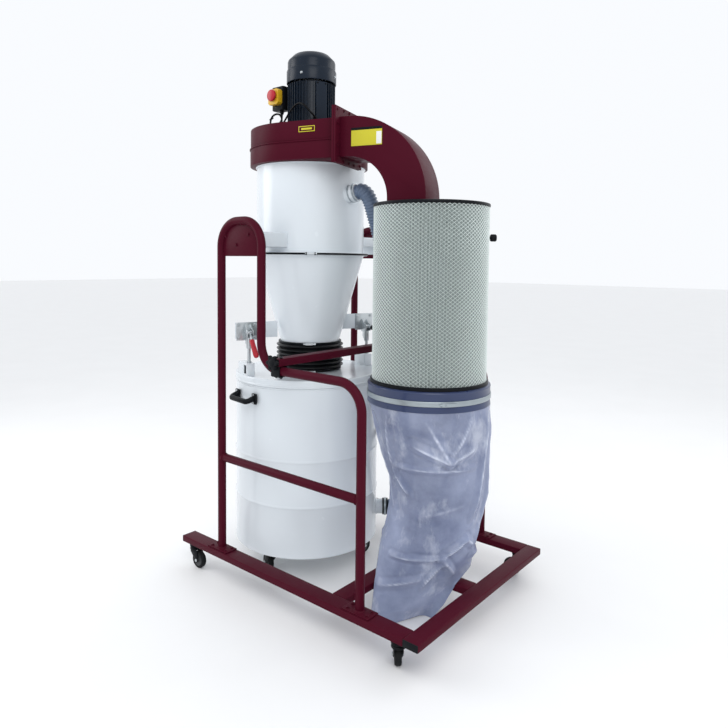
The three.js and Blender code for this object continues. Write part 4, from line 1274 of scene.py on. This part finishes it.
def pleatTree():
    tree = newTree("pleatWall", Count=300, Radius=0.2285, Depth=0.012, Height=0.69,
                   Paint=look["pleatCloth"])
    f = Flow(tree)
    i = f.start.outputs
    wall = f.add("GeometryNodeMeshCylinder", {"fill_type": "NONE"}, Vertices=i["Count"],
                 Radius=i["Radius"], Depth=i["Height"])
    index = f.add("GeometryNodeInputIndex").outputs[0]
    odd = f.math("MODULO", index, 2.0)
    position = f.add("GeometryNodeInputPosition").outputs[0]
    shrink = f.math("SUBTRACT", 1.0, f.math("MULTIPLY", odd, f.math("DIVIDE", i["Depth"], i["Radius"])))
    scale = f.add("ShaderNodeCombineXYZ", X=shrink, Y=shrink, Z=1.0)
    moved = f.add("ShaderNodeVectorMath", {"operation": "MULTIPLY"}, i0=position, i1=scale.outputs[0])
    folded = f.add("GeometryNodeSetPosition", Geometry=wall.outputs[0], Position=moved.outputs[0])
    f.finish(folded.outputs[0], i["Paint"])
    return tree


def meshTree():
    tree = newTree("meshCage", Strands=150, Steps=98, Radius=0.229, Height=0.69, Thick=0.0014,
                   Sway=0.0044, Paint=look["steelWire"])
    f = Flow(tree)
    i = f.start.outputs
    start = f.add("ShaderNodeCombineXYZ", Z=f.math("MULTIPLY", i["Height"], -0.5))
    step = f.add("ShaderNodeCombineXYZ",
                 Z=f.math("DIVIDE", i["Height"], f.math("SUBTRACT", i["Steps"], 1.0)))
    line = f.add("GeometryNodeMeshLine", Count=i["Steps"], Start_Location=start.outputs[0],
                 Offset=step.outputs[0])
    index = f.add("GeometryNodeInputIndex").outputs[0]
    side = f.math("SUBTRACT", f.math("MULTIPLY", f.math("MODULO", index, 2.0), 2.0), 1.0)
    sway = f.add("ShaderNodeCombineXYZ", Y=f.math("MULTIPLY", side, i["Sway"]))
    zigzag = f.add("GeometryNodeSetPosition", Geometry=line.outputs[0], Offset=sway.outputs[0])
    curve = f.add("GeometryNodeMeshToCurve", Mesh=zigzag.outputs[0])
    section = f.add("GeometryNodeCurvePrimitiveCircle", Resolution=3, Radius=i["Thick"])
    strand = f.add("GeometryNodeCurveToMesh", Curve=curve.outputs[0], Profile_Curve=section.outputs[0],
                   Fill_Caps=True)
    circle = f.add("GeometryNodeMeshCircle", {"fill_type": "NONE"}, Vertices=i["Strands"],
                   Radius=i["Radius"])
    position = f.add("GeometryNodeInputPosition").outputs[0]
    turn = f.add("FunctionNodeAlignRotationToVector", {"axis": "X"}, Vector=position)
    flip = f.add("ShaderNodeCombineXYZ", X=1.0, Y=side, Z=1.0)
    put = f.add("GeometryNodeInstanceOnPoints", Points=circle.outputs[0], Instance=strand.outputs[0],
                Rotation=turn.outputs[0], Scale=flip.outputs[0])
    f.finish(put.outputs[0], i["Paint"])
    return tree


def makeFilter(s):
    x, y, r = s["x"], s["y"], s["r"]
    middle = (s["z0"] + s["z1"]) / 2
    height = (s["z1"] - s["z0"] - 2) / 1000
    pleats = runTree(seed("filterPleats"), pleatTree(), Count=2 * s["pleats"], Radius=r / 1000 - 0.002,
                     Depth=0.014, Height=height, Paint=look["pleatCloth"])
    pleats.data.transform(Matrix.Translation(at(x, y, middle)))
    tidyNormals(pleats.data)
    shade(pleats.data, 30)
    own(pleats, "frame", "filter_media")
    cage = runTree(seed("filterCage"), meshTree(), Strands=s["strands"], Steps=s["steps"],
                   Radius=r / 1000, Height=height, Thick=s["thick"], Sway=s["sway"],
                   Paint=look["steelWire"])
    cage.data.transform(Matrix.Translation(at(x, y, middle)))
    tidyNormals(cage.data)
    shade(cage.data, 60)
    own(cage, "frame")
    c = Maker()
    c.lathe([(0, 1606), (r + 2, 1606), (r + 3.6, 1607.5), (r + 4, 1612), (r + 3, 1616.5), (r, 1617.8),
             (0, 1617.8)], x, y, 128, closed=False)
    c.done("filterCap", ["blackSteel"], "frame", "filter_cap", smooth=40)
    b = Maker()
    b.lathe([(244, 832), (247, 832), (247, 838), (246, 841), (246, 900), (247.5, 904), (246, 908),
             (r + 7, 911), (r + 6, 915), (r + 6, 922), (r + 4, 924), (r + 1.5, 924), (r, 914),
             (170, 914), (170, 906), (243, 904)], x, y, 128)
    b.lathe([(r + 6.4, 909), (r + 8.5, 910), (r + 8.5, 923), (r + 6, 925), (r + 3, 925), (r + 3, 924.2),
             (r + 6.2, 923)], x, y, 128, 1)
    b.done("filterCollar", ["pewterBand", "blackSteel"], "frame", "filter_collar",
           smooth=40)
    k = Maker()
    k.lathe([(246.6, 856), (248.4, 856), (249.2, 858), (249.2, 874), (248.4, 876), (246.6, 876)], x, y,
            128)
    k.place = around(x, y, -40)
    k.bar(247, 256, -22, 22, 858, 874)
    k.pin((253, -30, 866), (253, 30, 866), 3, 16)
    k.bar(254, 260, -8, 34, 860, 872)
    k.done("bagBand", ["bandSteel"], "frame", bevel=0.8)
    e = Vector((math.cos(deg(40)), math.sin(deg(40)), 0))
    n = Maker()
    turn = facing((x, y, 1488), e)
    n.lathe([(0, r + 1), (5, r + 1), (5, r + 8), (12, r + 9), (14, r + 12), (14, r + 30), (12, r + 33),
             (0, r + 34)], n=48, turn=turn, closed=False)
    for j in range(16):
        a = 2 * math.pi * j / 16
        n.pin(turn @ Vector((13.6 * math.cos(a), 13.6 * math.sin(a), r + 12)),
              turn @ Vector((13.6 * math.cos(a), 13.6 * math.sin(a), r + 30)), 1.1, 8)
    n.done("sideKnob", ["blackPlastic"], "side_knob_body", "side_knob", bevel=0.4)


makeFilter(filterSet)
print("filter made")

# bag
# height, centre x and y, half width each way, turn in degrees
bagShape = [
    (831.7, 361.5, 0.7, 246, 245, 39.6), (780, 367.8, 6, 237.4, 240, 39.6),
    (720, 374, 11.1, 226, 232, 39.6), (660, 380.2, 16.2, 214.6, 222, 39.6),
    (600, 389.4, 18.6, 203.3, 212, 39.6), (540, 399.6, 19.3, 192.8, 200, 39.6),
    (480, 406.5, 14.6, 187.9, 190, 39.6), (420, 408.5, 3.3, 178.5, 180, 39.6),
    (360, 405.1, -15.1, 177.4, 170, 39.6), (300, 401.3, -33.8, 190.4, 158, 45.6),
    (240, 398.6, -51.7, 194.3, 142, 51.6), (180, 398.3, -70.1, 199.1, 120, 57.6),
    (120, 402.8, -84.5, 212, 90, 63.6), (60, 405.1, -100.7, 219.7, 55, 67.6),
    (3, 399, -118.8, 192.4, 20, 69.6),
]
# creases of the film: both ends as (degrees round the bag, height), then depth and half width in mm
bagCreases = [
    ((262, 815), (248, 560), 9, 13), ((300, 800), (318, 640), 12, 16), ((318, 640), (285, 700), 14, 15),
    ((318, 640), (345, 690), 10, 14), ((345, 815), (318, 650), 10, 16), ((255, 600), (345, 612), 8, 10),
    ((250, 560), (268, 500), 11, 15), ((252, 262), (322, 268), 9, 10), ((322, 268), (352, 330), 12, 15),
    ((322, 268), (356, 190), 11, 13), ((330, 255), (300, 150), 9, 13), ((352, 330), (8, 300), 8, 12),
    ((245, 150), (300, 190), 8, 12), ((280, 420), (335, 470), 4, 18), ((10, 800), (352, 420), 8, 18),
    ((30, 780), (20, 320), 9, 20), ((225, 800), (238, 420), 9, 18), ((200, 780), (215, 350), 8, 20),
    ((150, 810), (165, 400), 9, 22), ((95, 800), (120, 300), 10, 22), ((60, 790), (75, 380), 9, 20),
    ((110, 500), (180, 540), 7, 16), ((20, 250), (90, 210), 8, 16), ((130, 260), (210, 300), 8, 18),
]


def makeBag(rows, creases, s):
    n, between = s["around"], s["between"]
    verts, faces, shineMarks = [], [], []
    levels = []
    for a, b in zip(rows, rows[1:]):
        for k in range(between):
            t = k / between
            levels.append([u + (w - u) * t for u, w in zip(a, b)])
    levels.append(list(rows[-1]))
    top = levels[0][0]
    reach = s["reach"]
    lines = []
    for (a0, z0), (a1, z1), depth, width in creases:
        lines.append((a0, z0, (a1 - a0 + 180) % 360 - 180, z1 - z0, depth, width))
    for z, x, y, a, b, turn in levels:
        across, aside = math.cos(deg(turn)), math.sin(deg(turn))
        free = min(1.0, (top - z) / s["gathered"])
        for i in range(n):
            u = 2 * math.pi * i / n
            p = Vector((a * math.cos(u), b * math.sin(u)))
            w = Vector((x + p.x * across - p.y * aside, y + p.x * aside + p.y * across, z))
            spot = math.degrees(math.atan2(w.y - y, w.x - x)) % 360
            d = noise.noise(Vector((w.x, w.y, w.z * 0.4)) * 0.009) * 10
            mark = 0.0
            for a0, z0, da, dz, depth, width in lines:
                h = deg((spot - a0 + 180) % 360 - 180) * reach
                v = z - z0
                lx, lz = deg(da) * reach, dz
                t = max(0.0, min(1.0, (h * lx + v * lz) / (lx * lx + lz * lz)))
                gap = math.hypot(h - lx * t, v - lz * t)
                if gap < width * 2.2:
                    k = 1 - gap / (width * 2.2)
                    d += 1.6 * depth * (k * k * (1.35 - 0.35 * k)) * (1 - (2 * t - 1) ** 6 * 0.6)
                    if gap > width:
                        d -= depth * 0.25 * (gap - width) / width
                    # mark: painted highlight along the middle of each crease, strongest halfway along it
                    if gap < width * 0.5:
                        mark = max(mark, (1 - gap / (width * 0.5)) ** 1.5 * (1 - (2 * t - 1) ** 2)
                                   * depth / 11)
            d -= 3.0 * (0.5 + 0.5 * math.sin(u * 34)) * (1 - free)
            out = Vector((w.x - x, w.y - y, 0)).normalized()
            squeeze = 1.0 if z > 120 else 0.35 + 0.65 * z / 120
            w += out * d * (0.1 + 0.9 * free) * squeeze
            low = max(0.0, min(1.0, (175 - z) / 35))
            edge = s["railY"] - s["tuck"] * max(0.0, min(1.0, (130 - z) / 130))
            soft = s["soften"]
            if w.y > edge - soft:
                w.y += (edge - soft * math.exp(-(w.y - edge + soft) / soft) - w.y) * low
            if w.x < s["railX"]:
                w.x += (s["railX"] - w.x) * low
            verts.append(w)
            shineMarks.append(min(1.0, mark * (0.45 + 0.55 * abs(noise.noise(w * 0.03)) * 2)))
    for r in range(len(levels) - 1):
        for i in range(n):
            j = (i + 1) % n
            faces.append([r * n + i, r * n + j, (r + 1) * n + j, (r + 1) * n + i])
    last = (len(levels) - 1) * n
    faces.append([last + i for i in range(n)])
    m = Maker()
    m.add(verts, faces)
    obj = m.done("collectionBag", ["clearFilm"], "frame", "collection_bag", smooth=180)
    # the painted crease highlights go onto the film as a vertex attribute
    spots = {tuple(round(c, 5) for c in at(*v)): mark for v, mark in zip(verts, shineMarks)}
    marks = obj.data.attributes.new("crease_highlight", "FLOAT", "POINT")
    keys = [tuple(round(c, 5) for c in v.co) for v in obj.data.vertices]
    marks.data.foreach_set("value", [spots.get(key, 0.0) for key in keys])


# in mm: the film keeps clear of the cross rail at railX and the middle rail at railY
bagSet = {"around": 200, "between": 13, "reach": 215, "gathered": 90, "railX": 284, "railY": -54,
          "tuck": 55, "soften": 25}
makeBag(bagShape, bagCreases, bagSet)
print("bag made")

# finishes for the CAD nodes that stay
for node, key in (("vortex_tube", "whiteGloss"), ("impeller", "zincPlate"),
                  ("rotor_shaft", "zincPlate")):
    mesh = frame["nodes"][node].data
    mesh.materials.clear()
    mesh.materials.append(look[key])

# floor and light
floorMesh = bpy.data.meshes.new("floor")
floorMesh.from_pydata([(-40, -40, 0), (40, -40, 0), (40, 40, 0), (-40, 40, 0)], [], [(0, 1, 2, 3)])
floor = linked("floor", floorMesh)
paleFloor = Finish("paleFloor", Roughness=0.55)
paleFloor.feed(Base_Color=paleFloor.mixed(paleFloor.grain(2, 3), (0.86, 0.86, 0.86), (0.9, 0.9, 0.9)))
floorMesh.materials.append(paleFloor.material)

world = bpy.data.worlds.new("studio")
world.use_nodes = True
world.node_tree.nodes["Background"].inputs[0].default_value = (0.95, 0.97, 1.0, 1)
world.node_tree.nodes["Background"].inputs[1].default_value = 1.0
bpy.context.scene.world = world
bpy.context.scene.view_settings.view_transform = "Standard"


def areaLight(name, place, target, size, power):
    data = bpy.data.lights.new(name, "AREA")
    data.shape = "RECTANGLE"
    data.size, data.size_y = size
    data.energy = power
    obj = linked(name, data)
    obj.location = place
    obj.rotation_euler = (Vector(target) - Vector(place)).to_track_quat("-Z", "Y").to_euler()


areaLight("keyLight", (2.6, -2.4, 3.6), (0, 0, 1.1), (2.2, 2.2), 45)
areaLight("sideLight", (-3.0, -1.8, 2.6), (0, 0, 1.1), (1.6, 2.6), 34)
areaLight("backLight", (1.5, 3.2, 3.2), (0, 0, 1.2), (2.5, 1.8), 24)

print("scene made")
